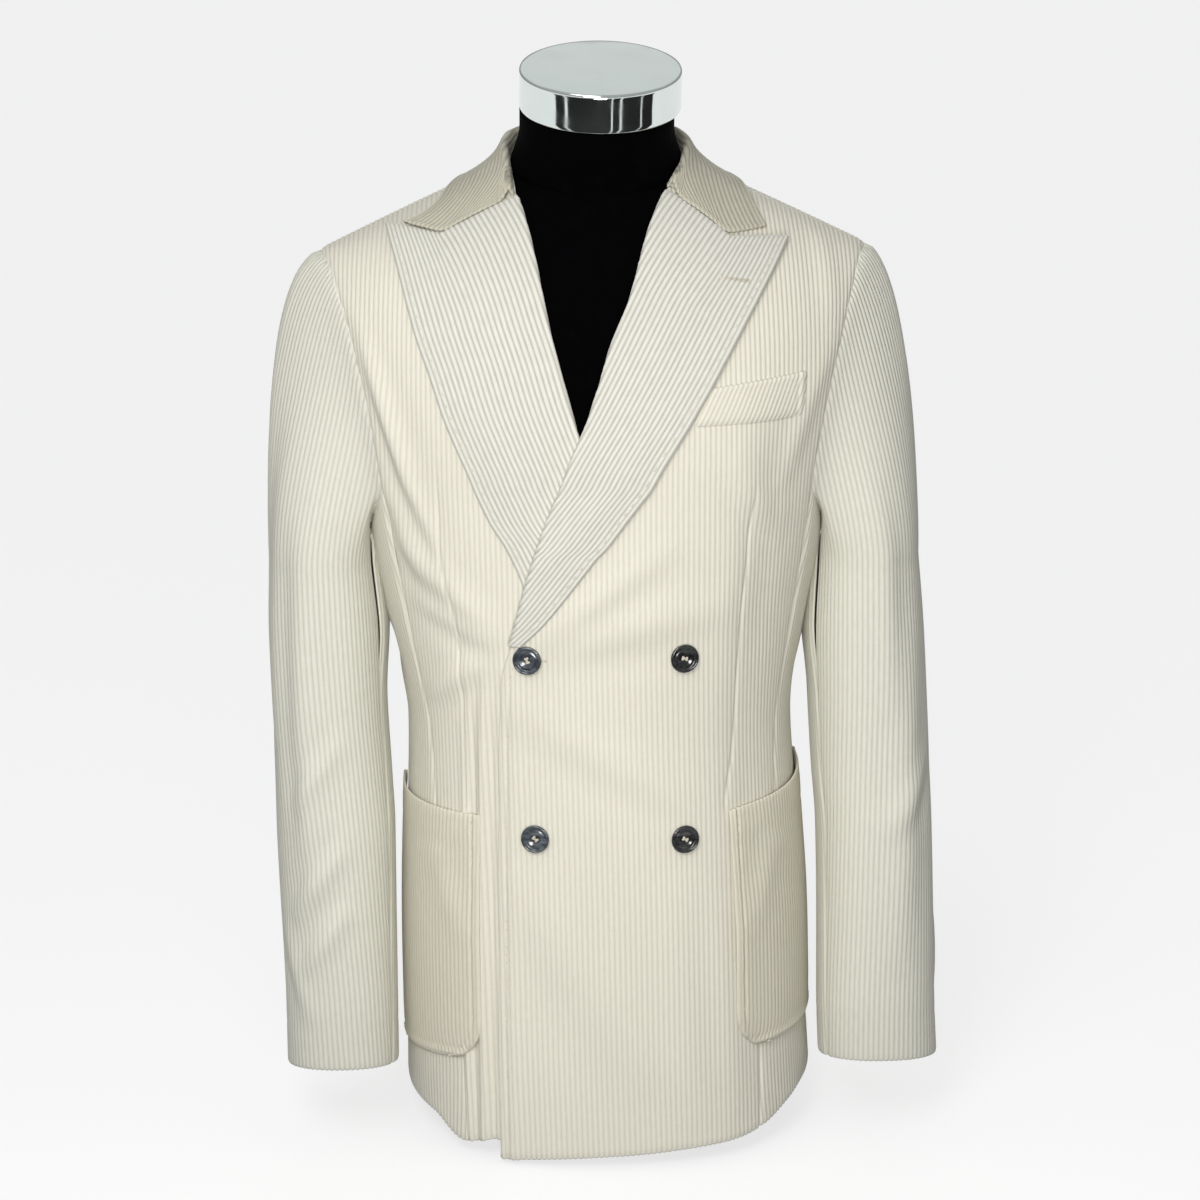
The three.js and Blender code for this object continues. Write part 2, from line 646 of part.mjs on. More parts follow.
// The collar's front end follows the lapel's top edge to the notch, and runs on
// to the collar's own point.
const collarEnds = {
  left: { top: leftTop, lapel: leftLapel, angle: 30.8, level: 731 },
  right: { top: rightTop, lapel: rightLapel, angle: 35.5, level: 750 },
};
const NOTCH_SHARE = 0.66;  // where along the collar's end the lapel's notch comes
const GORGE_GAP = 3.4;     // the collar's end keeps this far over the lapel

function collarEnd(side, share) {
  const end = side > 0 ? collarEnds.left : collarEnds.right;
  const fold = end.lapel('fold', end.top.gorge);
  const notchAngle = mix(fold, end.lapel('edge', end.top.gorge), end.top.notchShare);
  const gorge = Math.min(share / NOTCH_SHARE, 1);
  const beyond = Math.max((share - NOTCH_SHARE) / (1 - NOTCH_SHARE), 0);
  const angle = mix(mix(fold, notchAngle, gorge), end.angle, beyond);
  const level = mix(mix(end.top.gorge, end.top.notch, gorge), end.level, beyond);
  const out = COLLAR_CLEAR + end.top.tipLift * smooth(NOTCH_SHARE, 1, share);
  return skin(side * angle, level + GORGE_GAP, out);
}

function collarPlan(side, turn) {
  const at = (name) => neckline(name, turn);
  const foot = new THREE.Vector3(at('centre') + side * at('half'), at('y'), 0);
  foot.z = shouldersOver(foot.x, foot.y) + WALL + 1.6;
  const fold = foot.clone().add(new THREE.Vector3(side * 1.5, turn < 0.3 ? 2 : 0, at('stand')));
  const edge = new THREE.Vector3(at('centre') + side * at('edgeHalf'), at('edgeY'), 0);
  overShoulders(edge, COLLAR_CLEAR + 0.3);
  return { foot, fold, edge };
}

function collarRow(side, turn) {
  const { foot, fold, edge } = collarPlan(side, turn);
  const outward = edge.clone().sub(foot).setZ(0).normalize();
  const middle = foot.clone().addScaledVector(outward, 9);
  middle.z = shouldersOver(middle.x, middle.y) + COLLAR_CLEAR + 3;
  const stand = [foot, foot.clone().lerp(fold, 0.55), fold.clone().addScaledVector(outward, 0.4)];
  const top = fold.clone().addScaledVector(outward, 2.6).add(new THREE.Vector3(0, 0, 1.8));
  const blend = smooth(0.84, 1, turn);
  const fall = FALL_SHARES.map((share) => {
    const p = fold.clone().addScaledVector(outward, 4.6).multiplyScalar((1 - share) ** 2);
    p.addScaledVector(middle, 2 * share * (1 - share));
    p.addScaledVector(edge, share ** 2);
    overShoulders(p, COLLAR_CLEAR + 0.6);
    return p.lerp(collarEnd(side, share), blend);
  });
  return [...stand, top, ...fall];
}

function collar() {
  const right = COLLAR_TURNS.map((turn) => collarRow(-1, turn));
  const left = COLLAR_TURNS.slice().reverse().map((turn) => collarRow(1, turn));
  add('collar', thickened([...right, collarRow(1, 0), ...left], false, WALL / 2, WALL / 2), COLLAR_CLOTH);
}

// A patch pocket lies on the front and wraps round the side. Angles of its
// front and rear edges, levels of its lower edge and of its mouth.
const pockets = [
  { name: 'patch_pocket_left', side: 1, front: 33, rear: 94, foot: [92, 97], mouth: [296, 304] },
  { name: 'patch_pocket_right', side: -1, front: 35.5, rear: 94, foot: [88, 68], mouth: [293, 288] },
];
const POCKET_HEIGHT = 200;
const POCKET_WIDTH = 155;
const POCKET_CORNER = 30;  // radius of the lower corners
const POCKET_GAPE = 2.2;   // the mouth stands off this much more
const CORNER_STEPS = [0, 15, 33, 55, 90];
const POCKET_COLUMNS = 9;

function patchPockets() {
  for (const pocket of pockets) {
    const { side, front, rear, foot, mouth } = pocket;
    const cornerRise = (turn) => POCKET_CORNER * (1 - Math.cos(radians(turn)));
    const heights = CORNER_STEPS.map((turn) => cornerRise(turn) / POCKET_HEIGHT);
    for (const share of [0.3, 0.48, 0.66, 0.84, 1]) heights.push(share);
    const grid = (extra) => heights.map((share) => {
      const up = Math.min(share * POCKET_HEIGHT, POCKET_CORNER);
      const inset = POCKET_CORNER - Math.sqrt(POCKET_CORNER ** 2 - (POCKET_CORNER - up) ** 2);
      const turn = (inset / POCKET_WIDTH) * (rear - front);
      return Array.from({ length: POCKET_COLUMNS + 1 }, (_, c) => {
        const across = c / POCKET_COLUMNS;
        const angle = mix(front + turn, rear - turn, across);
        const level = mix(mix(foot[0], foot[1], across), mix(mouth[0], mouth[1], across), share);
        const stand = side > 0 ? liftAt(angle, level) : 0;
        const gape = POCKET_GAPE * share ** 3 * Math.sin(Math.PI * (0.1 + 0.75 * across));
        return skin(side * angle, level, stand + WALL + LAYER + gape + extra);
      });
    });
    add(pocket.name, closedWall(grid(WALL), grid(0), false), POCKET_CLOTH);
  }
}

// The welt of the breast pocket slants up towards the armhole and slips under
// the lapel's edge.
const WELT_GAP = 0.6;
const WELT_WALL = 1.6;
const WELT_COLUMNS = 8;
const welt = { foot: [[16.5, 592], [47.6, 599]], top: [[20, 611], [46.1, 626.6]] };

function breastWelt() {
  const between = (ends, share, i) => mix(ends[0][i], ends[1][i], share);
  const spot = (share, up, extra) => {
    const angle = mix(between(welt.foot, share, 0), between(welt.top, share, 0), up);
    const level = mix(between(welt.foot, share, 1), between(welt.top, share, 1), up);
    return skin(angle, level, liftAt(angle, level) + WALL + WELT_GAP + extra);
  };
  const grid = (extra) => [0, 0.34, 0.67, 1].map((up) => (
    Array.from({ length: WELT_COLUMNS + 1 }, (_, c) => spot(c / WELT_COLUMNS, up, extra))
  ));
  add('breast_welt', closedWall(grid(WELT_WALL), grid(0), false), POCKET_CLOTH);
}

// Four buttons in two columns: angle and level of each.
const buttonSpots = [
  ['button_top_right', -16.7, 426.3], ['button_top_left', 17.6, 426.3],
  ['button_low_right', -17.1, 280.2], ['button_low_left', 17.7, 278.1],
];
const HOLE_RADIUS = 1.15;
const HOLE_SPREAD = 2.5;
const BUTTON_BEVEL = 0.8;
const BUTTON_GAP = 0.45;   // the button stands off the cloth by its thread

function buttons() {
  const shape = new THREE.Shape();
  shape.absarc(0, 0, BUTTON_RADIUS - BUTTON_BEVEL, 0, 2 * Math.PI);
  for (const turn of [45, 135, 225, 315]) {
    const hole = new THREE.Path();
    const x = HOLE_SPREAD * Math.cos(radians(turn));
    const y = HOLE_SPREAD * Math.sin(radians(turn));
    hole.absarc(x, y, HOLE_RADIUS, 0, 2 * Math.PI, true);
    shape.holes.push(hole);
  }
  const depth = BUTTON_THICK - 2 * BUTTON_BEVEL;
  const bevel = { bevelThickness: BUTTON_BEVEL, bevelSize: BUTTON_BEVEL, bevelSegments: 1 };
  for (const [name, angle, level] of buttonSpots) {
    const disc = new THREE.ExtrudeGeometry(shape, { depth, curveSegments: 6, ...bevel });
    disc.translate(0, 0, BUTTON_BEVEL);
    const mesh = add(name, disc, HORN);
    const facing = trunkNormal(angle, level);
    mesh.position.copy(skin(angle, level, liftAt(angle, level) + WALL + BUTTON_GAP));
    mesh.quaternion.setFromUnitVectors(new THREE.Vector3(0, 0, 1), facing);
  }
}

// The form fills the jacket from its flat base, and its neck leans forward.
const NECK_CENTRE = { x: -7, y: -4 };
const FORM_COLUMNS = 36;
const FORM_LEVELS = [0, 14, 36, 62, 130, 200, 280, 350, 430, 500, UNDERARM];
const formFoot = table('height scale', [
  [0, 0.68], [14, 0.84], [36, 0.95], [62, 1],
]);
const FORM_CLIMB = [0.04, 0.1, 0.18, 0.28, 0.4, 0.54, 0.7, 0.85, 1];
const neck = table('share radius rise lean', [
  [0, NECK_RADIUS + 0.5, 0, 0], [0.25, NECK_RADIUS, 4, -1], [0.5, NECK_RADIUS, 8, -3],
  [1, NECK_RADIUS, 8, -10],
]);
const CAP_BASE = new THREE.Vector3(-4.5, -15, 838.5);
const CAP_TILT = 14;

function dressForm() {
  const turns = Array.from({ length: FORM_COLUMNS }, (_, c) => -180 + (360 * c) / FORM_COLUMNS);
  const rings = FORM_LEVELS.map((level) => turns.map((angle) => {
    const scale = formFoot('scale', level);
    return skin(angle, level, -REST).multiply(new THREE.Vector3(scale, scale, 1)).setZ(level);
  }));
  const base = rings[rings.length - 1];
  const circle = (angle, radius, lean) => {
    const turn = radians(angle);
    return [NECK_CENTRE.x + radius * Math.sin(turn), NECK_CENTRE.y + lean - radius * Math.cos(turn)];
  };
  for (const climb of FORM_CLIMB) {
    rings.push(turns.map((angle, c) => {
      const [x, y] = circle(angle, neck('radius', 0), 0);
      const px = mix(base[c].x, x, climb);
      const py = mix(base[c].y, y, climb);
      const away = new THREE.Vector3(px - x, py - y, 0).setLength(REST * 1.3);
      const outside = climb < 1 ? shouldersOver(px + away.x, py + away.y) : UNDERARM * 2;
      return new THREE.Vector3(px, py, Math.min(outside, shouldersOver(px, py) - REST * 1.5));
    }));
  }
  const foot = rings[rings.length - 1];
  for (const share of [0.25, 0.5, 0.75, 1]) {
    rings.push(turns.map((angle, c) => {
      const [x, y] = circle(angle, neck('radius', share), neck('lean', share));
      const top = CAP_BASE.z - SEAM * 2 + Math.tan(radians(CAP_TILT)) * (y - CAP_BASE.y);
      return new THREE.Vector3(x, y, mix(foot[c].z + neck('rise', share) * (1 - share), top, share ** 1.3));
    }));
  }
  add('form_torso', stackedSolid(rings), JERSEY);
  const lip = 2;
  const profile = [[0, 0], [CAP_RADIUS - 0.6, 0], [CAP_RADIUS, 0.6], [CAP_RADIUS, CAP_HEIGHT - lip],
    [CAP_RADIUS - 0.6, CAP_HEIGHT - 0.6], [CAP_RADIUS - lip, CAP_HEIGHT], [0, CAP_HEIGHT]];
  const capShape = new THREE.LatheGeometry(profile.map(([r, z]) => new THREE.Vector2(r, z)), 40);
  capShape.rotateX(Math.PI / 2);
  const cap = add('neck_cap', capShape, CHROME);
  cap.position.copy(CAP_BASE);
  cap.rotation.x = radians(CAP_TILT);
}

dressForm();
collar();
lapels();
patchPockets();
breastWelt();
buttons();
fronts();
backs();
sides();
sleeves();

export default blazer;
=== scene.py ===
# %% [markdown]
# A double breasted blazer in cream, wide ribbed corduroy, buttoned on a black
# dress form with a bright metal neck cap. The CAD model gives the frame: every
# piece here lies on the solid that it stands for. The pattern is drafted in
# millimetres, as a tailor would, and turned into metres when a mesh is made.

# %% Load the frame
import math
import bpy
import numpy as np
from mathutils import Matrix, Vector


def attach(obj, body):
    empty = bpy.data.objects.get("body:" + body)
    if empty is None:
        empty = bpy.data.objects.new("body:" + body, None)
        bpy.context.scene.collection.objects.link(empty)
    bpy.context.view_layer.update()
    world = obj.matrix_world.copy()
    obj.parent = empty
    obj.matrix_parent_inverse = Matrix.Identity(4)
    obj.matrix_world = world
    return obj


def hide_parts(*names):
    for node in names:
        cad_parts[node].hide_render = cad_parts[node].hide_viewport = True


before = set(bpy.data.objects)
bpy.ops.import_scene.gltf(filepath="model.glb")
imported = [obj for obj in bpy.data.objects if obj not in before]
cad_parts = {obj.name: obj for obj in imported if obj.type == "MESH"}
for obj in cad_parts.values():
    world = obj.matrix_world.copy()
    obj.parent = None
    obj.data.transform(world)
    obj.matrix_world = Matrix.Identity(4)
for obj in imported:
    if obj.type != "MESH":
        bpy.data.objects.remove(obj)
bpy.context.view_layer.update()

MM = 0.001
print("nodes in the frame:", len(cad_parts))

# %% [markdown]
# Curves through a few measured rows describe everything. A table's first
# column is what the rest is read by. The curve is a cubic that never swings
# past its rows, so a hem or a lapel edge keeps the shape that was drawn.

# %% Curves through a table
def table(names, rows):
    keys = names.split()
    grid = np.array(rows, float)
    at = grid[:, 0]
    span = np.diff(at)
    step = np.diff(grid, axis=0) / span[:, None]
    slope = np.zeros_like(grid)
    slope[0], slope[-1] = step[0], step[-1]
    before, after = step[:-1], step[1:]
    total = np.where(before + after == 0, 1, before + after)
    slope[1:-1] = np.where(before * after > 0, 2 * before * after / total, 0)

    def read(name, where):
        column = keys.index(name)
        x = np.clip(where, at[0], at[-1])
        i = np.clip(np.searchsorted(at, x, side="right") - 1, 0, len(span) - 1)
        t = (x - at[i]) / span[i]
        curve = (2 * t**3 - 3 * t**2 + 1) * grid[i, column] + (3 * t**2 - 2 * t**3) * grid[i + 1, column]
        bend = (t**3 - 2 * t**2 + t) * slope[i, column] + (t**3 - t**2) * slope[i + 1, column]
        return curve + bend * span[i]

    return read


print("halfway on a straight table:", float(table("x y", [[0, 0], [1, 10]])("y", 0.5)))

# %% [markdown]
# A few small helpers come up everywhere. A soft step blends one shape into the
# next without a crease, and a mix reads any place between two others. They work
# on whole arrays at once, which is much faster than a loop over the points.

# %% Small helpers
def smooth(a, b, x):
    t = np.clip((x - a) / (b - a), 0, 1)
    return t * t * (3 - 2 * t)


def mix(a, b, t):
    return a + (b - a) * t


def signed_power(value, power):
    return np.sign(value) * np.abs(value) ** power


def unit(vectors):
    length = np.linalg.norm(vectors, axis=-1, keepdims=True)
    return vectors / np.where(length == 0, 1, length)


def stack(x, y, z):
    return np.stack(np.broadcast_arrays(x, y, z), axis=-1).astype(float)


def run_along(points):
    """How far along a path each of its points lies."""
    return np.concatenate([[0], np.cumsum(np.linalg.norm(np.diff(points, axis=0), axis=1))])


print("a soft step at a quarter:", float(smooth(0, 1, 0.25)))

# %% [markdown]
# The trunk is the form that the cloth hangs on. It is a stack of squarish
# ovals up to the underarm. Above that the ovals close in over the shoulders to
# a ridge, the shoulder line. An angle runs round it, 0 at the centre front and
# positive to the wearer's left, and a level runs up it.

# %% Sizes of the trunk
WALL = 2.0
SEAM = 0.3
LAYER = 0.9
REST = 2.2
UNDERARM = 560
RIDGE = 800
RIDGE_HALF = 232
RIDGE_Y = 6
SHOULDER_Z = 729.5
SHOULDER_X = 208
SHOULDER_SLOPE = 0.475
NECK_SOFTEN = 35
NECK_MIDDLE = -6
SQUARENESS = 2.4
BACK_FULLNESS = 0.2
ARMHOLE_FOOT = 547
SLEEVE_TOP = 480

body = table("height half front back shift", [
    [0, 168, 140, 130, 4], [100, 164, 141, 133, 1], [200, 161, 141, 133, -1],
    [280, 157, 140, 128, -3], [350, 154, 139, 121, -5], [430, 165, 139, 116, -7],
    [500, 179, 139, 120, -8], [560, 190, 137, 124, -9],
])
print("chest depth, mm:", round(float(body("front", 500) + body("back", 500))))

# %% [markdown]
# A place on the trunk is worked out and not modelled by hand, so the CAD panels
# and the cloth agree to a tenth of a millimetre. The squarish oval is a circle
# whose sine and cosine are raised to a power. Pushing a place out along its
# normal gives room for one cloth over another.

# %% Places on the trunk
def shoulder_height(x):
    return SHOULDER_Z + (SHOULDER_X - np.hypot(x - NECK_MIDDLE, NECK_SOFTEN)) * SHOULDER_SLOPE


def trunk(angle, level):
    angle, level = np.broadcast_arrays(np.asarray(angle, float), np.asarray(level, float))
    low = np.minimum(level, UNDERARM)
    climb = np.clip((level - UNDERARM) / (RIDGE - UNDERARM), 0, 1) * math.pi / 2
    turn = np.radians(angle)
    fullness = 1 - BACK_FULLNESS * smooth(90, 150, np.abs(angle))
    half = mix(body("half", low), RIDGE_HALF, np.sin(climb))
    x = body("shift", low) + half * signed_power(np.sin(turn), 2 / SQUARENESS)
    facing = np.cos(turn)
    depth = np.where(facing > 0, -body("front", low), body("back", low))
    flat = depth * np.abs(facing) ** (2 / SQUARENESS)
    inward = 1 - np.maximum(np.cos(climb), 0) ** fullness
    z = np.where(level > UNDERARM, mix(UNDERARM, shoulder_height(x), np.sin(climb) ** fullness), level)
    return stack(x, mix(flat, RIDGE_Y, inward), z)


def trunk_normal(angle, level):
    step = 0.4
    top = np.minimum(level, RIDGE - 4)
    around = trunk(angle + step, top) - trunk(angle - step, top)
    up = trunk(angle, top + 4 * step) - trunk(angle, top - 4 * step)
    facing = unit(np.cross(around, up))
    sideways = SHOULDER_SLOPE * np.sign(np.sin(np.radians(angle)))
    ridge = unit(stack(sideways, 0, 1))
    return unit(mix(facing, ridge, smooth(RIDGE - 40, RIDGE, level + 0 * angle)[..., None]))


def skin(angle, level, out):
    angle, level, out = np.broadcast_arrays(*(np.asarray(v, float) for v in (angle, level, out)))
    return trunk(angle, level) + trunk_normal(angle, level) * out[..., None]


print("trunk at the chest's side, mm:", np.round(trunk(90, 500)).tolist())

# %% [markdown]
# The collar and the neck need the opposite: how high the shoulders are over a
# place in plan. There is no formula for it, so the level is halved in on, and
# the answer doubles its accuracy at each try.

# %% Height of the shoulders
def shoulders_over(x, y):
    """Height of the shoulders' inside face over places in plan."""
    low, high = np.full(np.shape(x), UNDERARM, float), np.full(np.shape(x), RIDGE, float)
    shift = body("shift", UNDERARM)
    for _ in range(26):
        level = (low + high) / 2
        climb = (level - UNDERARM) / (RIDGE - UNDERARM) * math.pi / 2
        half = mix(body("half", UNDERARM), RIDGE_HALF, np.sin(climb))
        turn = np.degrees(np.arcsin(np.minimum(np.abs(x - shift) / half, 1) ** (SQUARENESS / 2)))
        angle = np.where(y > RIDGE_Y, 180 - turn, turn) * np.sign(x - shift)
        found = trunk(angle, level)
        short = np.abs(found[..., 1] - RIDGE_Y) > np.abs(y - RIDGE_Y)
        low, high = np.where(short, level, low), np.where(short, high, level)
    return np.minimum(found[..., 2], shoulder_height(x))


print("shoulder height half way out, mm:", round(float(shoulders_over(np.array(100.0), np.array(0.0)))))

# %% [markdown]
# Seams are angles for each level. The wearer's left front laps over the right
# one, so its free edge runs far past the centre, and its hem has a soft wave
# of its own. The same values shape the CAD panels.

# %% Seam and hem lines
over_edge = table("height angle", [
    [0, -29], [140, -28.7], [341, -27.9], [408, -24.5], [429, -21.6], [456, -18],
    [494, -13.6], [536, -8.9], [566, -5.1], [578, -2.9], [595, -0.9], [624, 1.2],
    [655, 4.6], [698, 7.6], [731, 10.3], [765, 12], [800, 12.8],
])
under_edge = table("height angle", [
    [0, -22], [400, -22], [440, -20], [490, -13], [540, -5], [578, 3.1], [601, 5.1],
    [625, 7.1], [649, 8.6], [685, 10.1], [733, 12.2], [765, 12.6], [800, 12.8],
])
front_seam = table("height angle", [[0, 41], [100, 43], [200, 50], [300, 57], [430, 62], [547, 60.5]])
armhole_front = table("height angle", [
    [547, 60.5], [576, 59.6], [640, 60], [706, 61.2], [769, 64], [800, 66.4],
])
armhole_back = table("height angle", [
    [547, 121], [580, 124], [640, 124.5], [706, 121], [769, 116], [800, 113.6],
])
back_seam = table("height angle", [[0, 132], [200, 128], [430, 122], [547, 121]])
back_neck = table("height angle", [
    [0, 180], [727, 180], [745, 173], [765, 169], [785, 167.6], [800, 167.2],
])
over_hem = table("angle height", [
    [-30, 4], [-14, 8], [0, 11], [15, 14.5], [31, 17], [40, 20], [55, 33], [70, 42],
    [100, 46], [130, 38], [180, 33],
])
under_hem = table("angle height", [
    [-180, 33], [-130, 37], [-90, 34], [-58, 28], [-43, 12], [-31, 19], [-15, 20], [30, 22],
])
HEM_BLEND = 70
over_lift = table("height most", [
    [0, 1], [360, 1], [420, 1.35], [470, 2.2], [560, 2.2], [600, 1.3], [650, 0], [800, 0],
])
UNDER_STACK = WALL + LAYER
LIFT_FROM = 27
LIFT_TO = 44
print("the front edge at the hem, degrees past the centre:", -round(float(over_edge("angle", 0))))

# %% [markdown]
# A panel is a stretch of the trunk between two seams. Near the floor its levels
# are squeezed to end on the hem line. The left front lies on the hidden edge of
# the right one, so it stands off by one more cloth there, and comes down softly.

# %% Places on the panels
def hemmed(angle, level, side):
    edge = over_hem("height", angle) if side > 0 else under_hem("height", angle)
    return np.where(level < HEM_BLEND, edge + (level / HEM_BLEND) * (HEM_BLEND - edge), level)


def panel_point(angle, level, side, out):
    return skin(angle, hemmed(angle, np.minimum(level, RIDGE - 0.2), side), out)


def lift_at(angle, level):
    return over_lift("most", level) * UNDER_STACK * (1 - smooth(LIFT_FROM, LIFT_TO, angle))


def front_outer(level):
    return front_seam("angle", level) if level <= ARMHOLE_FOOT else armhole_front("angle", level)


def back_outer(level):
    return back_seam("angle", level) if level <= ARMHOLE_FOOT else armhole_back("angle", level)


print("stand of the left front over the right, mm:", round(float(lift_at(0, 500)), 1))

# %% [markdown]
# Corduroy is a pile cloth with soft ridges, the wales, that run along the
# grain. A bump map would lose them in the outline and in the raking light, so
# they are real geometry here: six columns of points to each wale. The columns
# keep their spacing and are cut off by the seams, as when cloth is cut from a
# roll. Each line of a piece is drafted across it, and measured out in wales.

# %% The size of a wale
WALE = 4.25
WALE_COLUMNS = 6
WALE_DEPTH = 0.5
WALE_FULLNESS = 0.62
FLAT_DEPTH = 0.44
ROW = 5.5
TURN_IN = 9.0
pieces = {}


def wale_shape(u):
    return np.abs(np.sin(math.pi * u / WALE)) ** WALE_FULLNESS


print("wales to 100 mm:", round(100 / WALE, 1))

# %% [markdown]
# A draft keeps each line once it's measured, because the same line is asked for
# again by its neighbours. The normal comes from two short steps on the surface,
# one across the cloth and one along it.

# %% A draft of one piece
class Draft:
    """A piece of cloth: line(v) gives points across it, start(v, width) where its grain begins."""

    def __init__(self, line, start, facing=1):
        self.line, self.start, self.facing = line, start, facing
        self.measured = {}

    def measure(self, v):
        v = float(v)
        if v not in self.measured:
            points = self.line(v)
            run = run_along(points)
            self.measured[v] = (points, run + self.start(v, run[-1]))
        return self.measured[v]

    def bounds(self, v):
        run = self.measure(v)[1]
        return run[0], run[-1]

    def row(self, u, v):
        points, run = self.measure(v)
        return np.stack([np.interp(u, run, points[:, k]) for k in range(3)], axis=-1)

    def surface(self, u, rows):
        """Points and normals, u has one row of places for each v."""
        step = 0.7
        place, across, along = (np.zeros(u.shape + (3,)) for _ in range(3))
        for r, v in enumerate(rows):
            place[r] = self.row(u[r], v)
            across[r] = self.row(u[r] + step, v) - self.row(u[r] - step, v)
            along[r] = self.row(u[r], v + step) - self.row(u[r], v - step)
        return place, unit(np.cross(across, along)) * self.facing


chest_line = Draft(lambda v: skin(np.linspace(0, 90, 60), v, 0), lambda v, w: 0.0)
print("quarter of the chest, mm:", round(chest_line.bounds(500)[1]))

# %% [markdown]
# Blender takes a mesh as a list of points and a list of faces. A cloth also
# keeps two numbers for each point: how high on a wale it lies, and how far it
# is from the cut edge. The shader reads both: it paints shade into the valleys
# between wales and a highlight along the cut edges, so colour and shape agree.

# %% Make a mesh
def new_mesh(name, points, faces, material, per_point=None, uv=None):
    mesh = bpy.data.meshes.new(name)
    mesh.from_pydata((np.asarray(points) * MM).tolist(), [], faces)
    mesh.polygons.foreach_set("use_smooth", [True] * len(mesh.polygons))
    for key, values in (per_point or {}).items():
        attribute = mesh.attributes.new(key, "FLOAT", "POINT")
        attribute.data.foreach_set("value", np.asarray(values, np.float32))
    if uv is not None:
        layer = mesh.uv_layers.new(name="Cut")
        corner = np.zeros(len(mesh.loops), np.int32)
        mesh.loops.foreach_get("vertex_index", corner)
        layer.data.foreach_set("uv", (np.asarray(uv)[corner] * MM).astype(np.float32).ravel())
    mesh.materials.append(material)
    mesh.update()
    piece = bpy.data.objects.new(name, mesh)
    bpy.context.scene.collection.objects.link(piece)
    pieces[name] = piece
    return piece


print("metres to one unit of the pattern:", MM)

# %% [markdown]
# The rim of each piece rolls over its cut edge and turns in, so an edge shows
# the cloth's real thickness. A coarse inner layer closes the back of it, where
# nobody looks closely. That keeps the points for the ridges on the outside.

# %% Faces of the cloth and its rim
STITCH_IN = 6.2
STITCH_STEP = 7.0
STITCH_LENGTH = 2.6
TOOTH = 0.7
RIM = [(0.45, 0.35), (0.62, 1.0), (0.25, 1.8), (-1.0, 2.1)]


def cut_faces(index, outward):
    """Faces of a grid whose rows may end early, where a column repeats the last point."""
    a, b, c, d = index[:-1, :-1], index[:-1, 1:], index[1:, 1:], index[1:, :-1]
    low, high = a != b, c != d
    quads = np.stack([a, b, c, d], axis=-1)[low & high]
    lower = np.stack([a, b, c], axis=-1)[low & ~high]
    upper = np.stack([a, c, d], axis=-1)[~low & high]
    step = 1 if outward else -1
    return [tuple(face[::step]) for some in (quads, lower, upper) for face in some.tolist()]


def rim_faces(ring, rings, first, size, outward):
    faces = []
    previous = ring
    for k in range(rings):
        current = [first + k * size + i for i in range(size)]
        for i in range(size):
            j = (i + 1) % size
            face = (previous[j], previous[i], current[i], current[j])
            faces.append(face if outward else face[::-1])
        previous = current
    return faces


print("faces of a 2 by 2 grid:", len(cut_faces(np.arange(9).reshape(3, 3), True)))

# %% [markdown]
# The rim has a point for every wale, and the inner layer has far fewer. The
# strip between them is closed like a zip, with a triangle from whichever side
# has fallen behind. So the mesh is watertight without extra points.

# %% The strip inside the rim
def sewn_ring(first, lengths, grid, outward):
    """Closes the strip between the turned-in rim and the inner layer, side by side."""
    size = sum(lengths)
    borders = [grid[0], grid[:, -1], grid[-1, ::-1], grid[::-1, 0]]
    faces, start = [], 0
    for length, border in zip(lengths, borders):
        rim = [first + (start + k) % size for k in range(length + 1)]
        i = j = 0
        while i < length or j < len(border) - 1:
            if j == len(border) - 1 or (i < length and (i + 1) * (len(border) - 1) <= (j + 1) * length):
                face = (rim[i + 1], rim[i], int(border[j]))
                i += 1
            else:
                face = (int(border[j + 1]), rim[i], int(border[j]))
                j += 1
            faces.append(face if outward else face[::-1])
        start += length
    return faces


print("faces of a small strip:", len(sewn_ring(9, [4] * 4, np.arange(9).reshape(3, 3), True)))

# %% [markdown]
# Sewing shows as relief. A seam pulls both cloths down into a narrow valley. A
# finished edge is a fold of cloth, so it is a little fatter than the rest, with
# a shallow line where the hand stitches hold it. A bump map would do from afar,
# but real relief also changes the outline and the shadows.

# %% Relief near the edges
HEM_TURN = 36


def edge_height(kind, distance):
    if kind == "seam":
        return -1.15 * np.exp(-(distance / 1.7) ** 2) - 0.35 * np.exp(-(distance / 5) ** 2)
    if kind == "free":
        roll = 0.35 * np.exp(-((distance - 2.6) / 1.9) ** 2) - 0.45 * np.exp(-(distance / 1.0) ** 2)
        return roll - 0.4 * np.exp(-((distance - STITCH_IN) / 1.1) ** 2)
    if kind == "patch":
        roll = -0.5 * np.exp(-(distance / 1.6) ** 2) - 0.5 * np.exp(-((distance - 6.5) / 1.2) ** 2)
        return roll + 0.5 * np.exp(-((distance - 3.4) / 1.6) ** 2)
    if kind == "hem":
        return -0.3 * np.exp(-(distance / 1.2) ** 2) - 0.22 * np.exp(-((distance - HEM_TURN) / 2.0) ** 2)
    return 0 * distance


for kind in ("seam", "free", "patch", "hem", "roll"):
    print(f"relief 2 mm inside a {kind} edge, mm: {float(edge_height(kind, 2.0)):.2f}")

# %% [markdown]
# The outer face is read from the draft wale by wale. Its points lie on columns a
# sixth of a wale apart, so each wale is round, and the first and the last column
# bend to follow the cut. The height of a point is its wale's, its edge's and its
# fold's, added up.

# %% The outer face
PILE_RAISE = 0.35


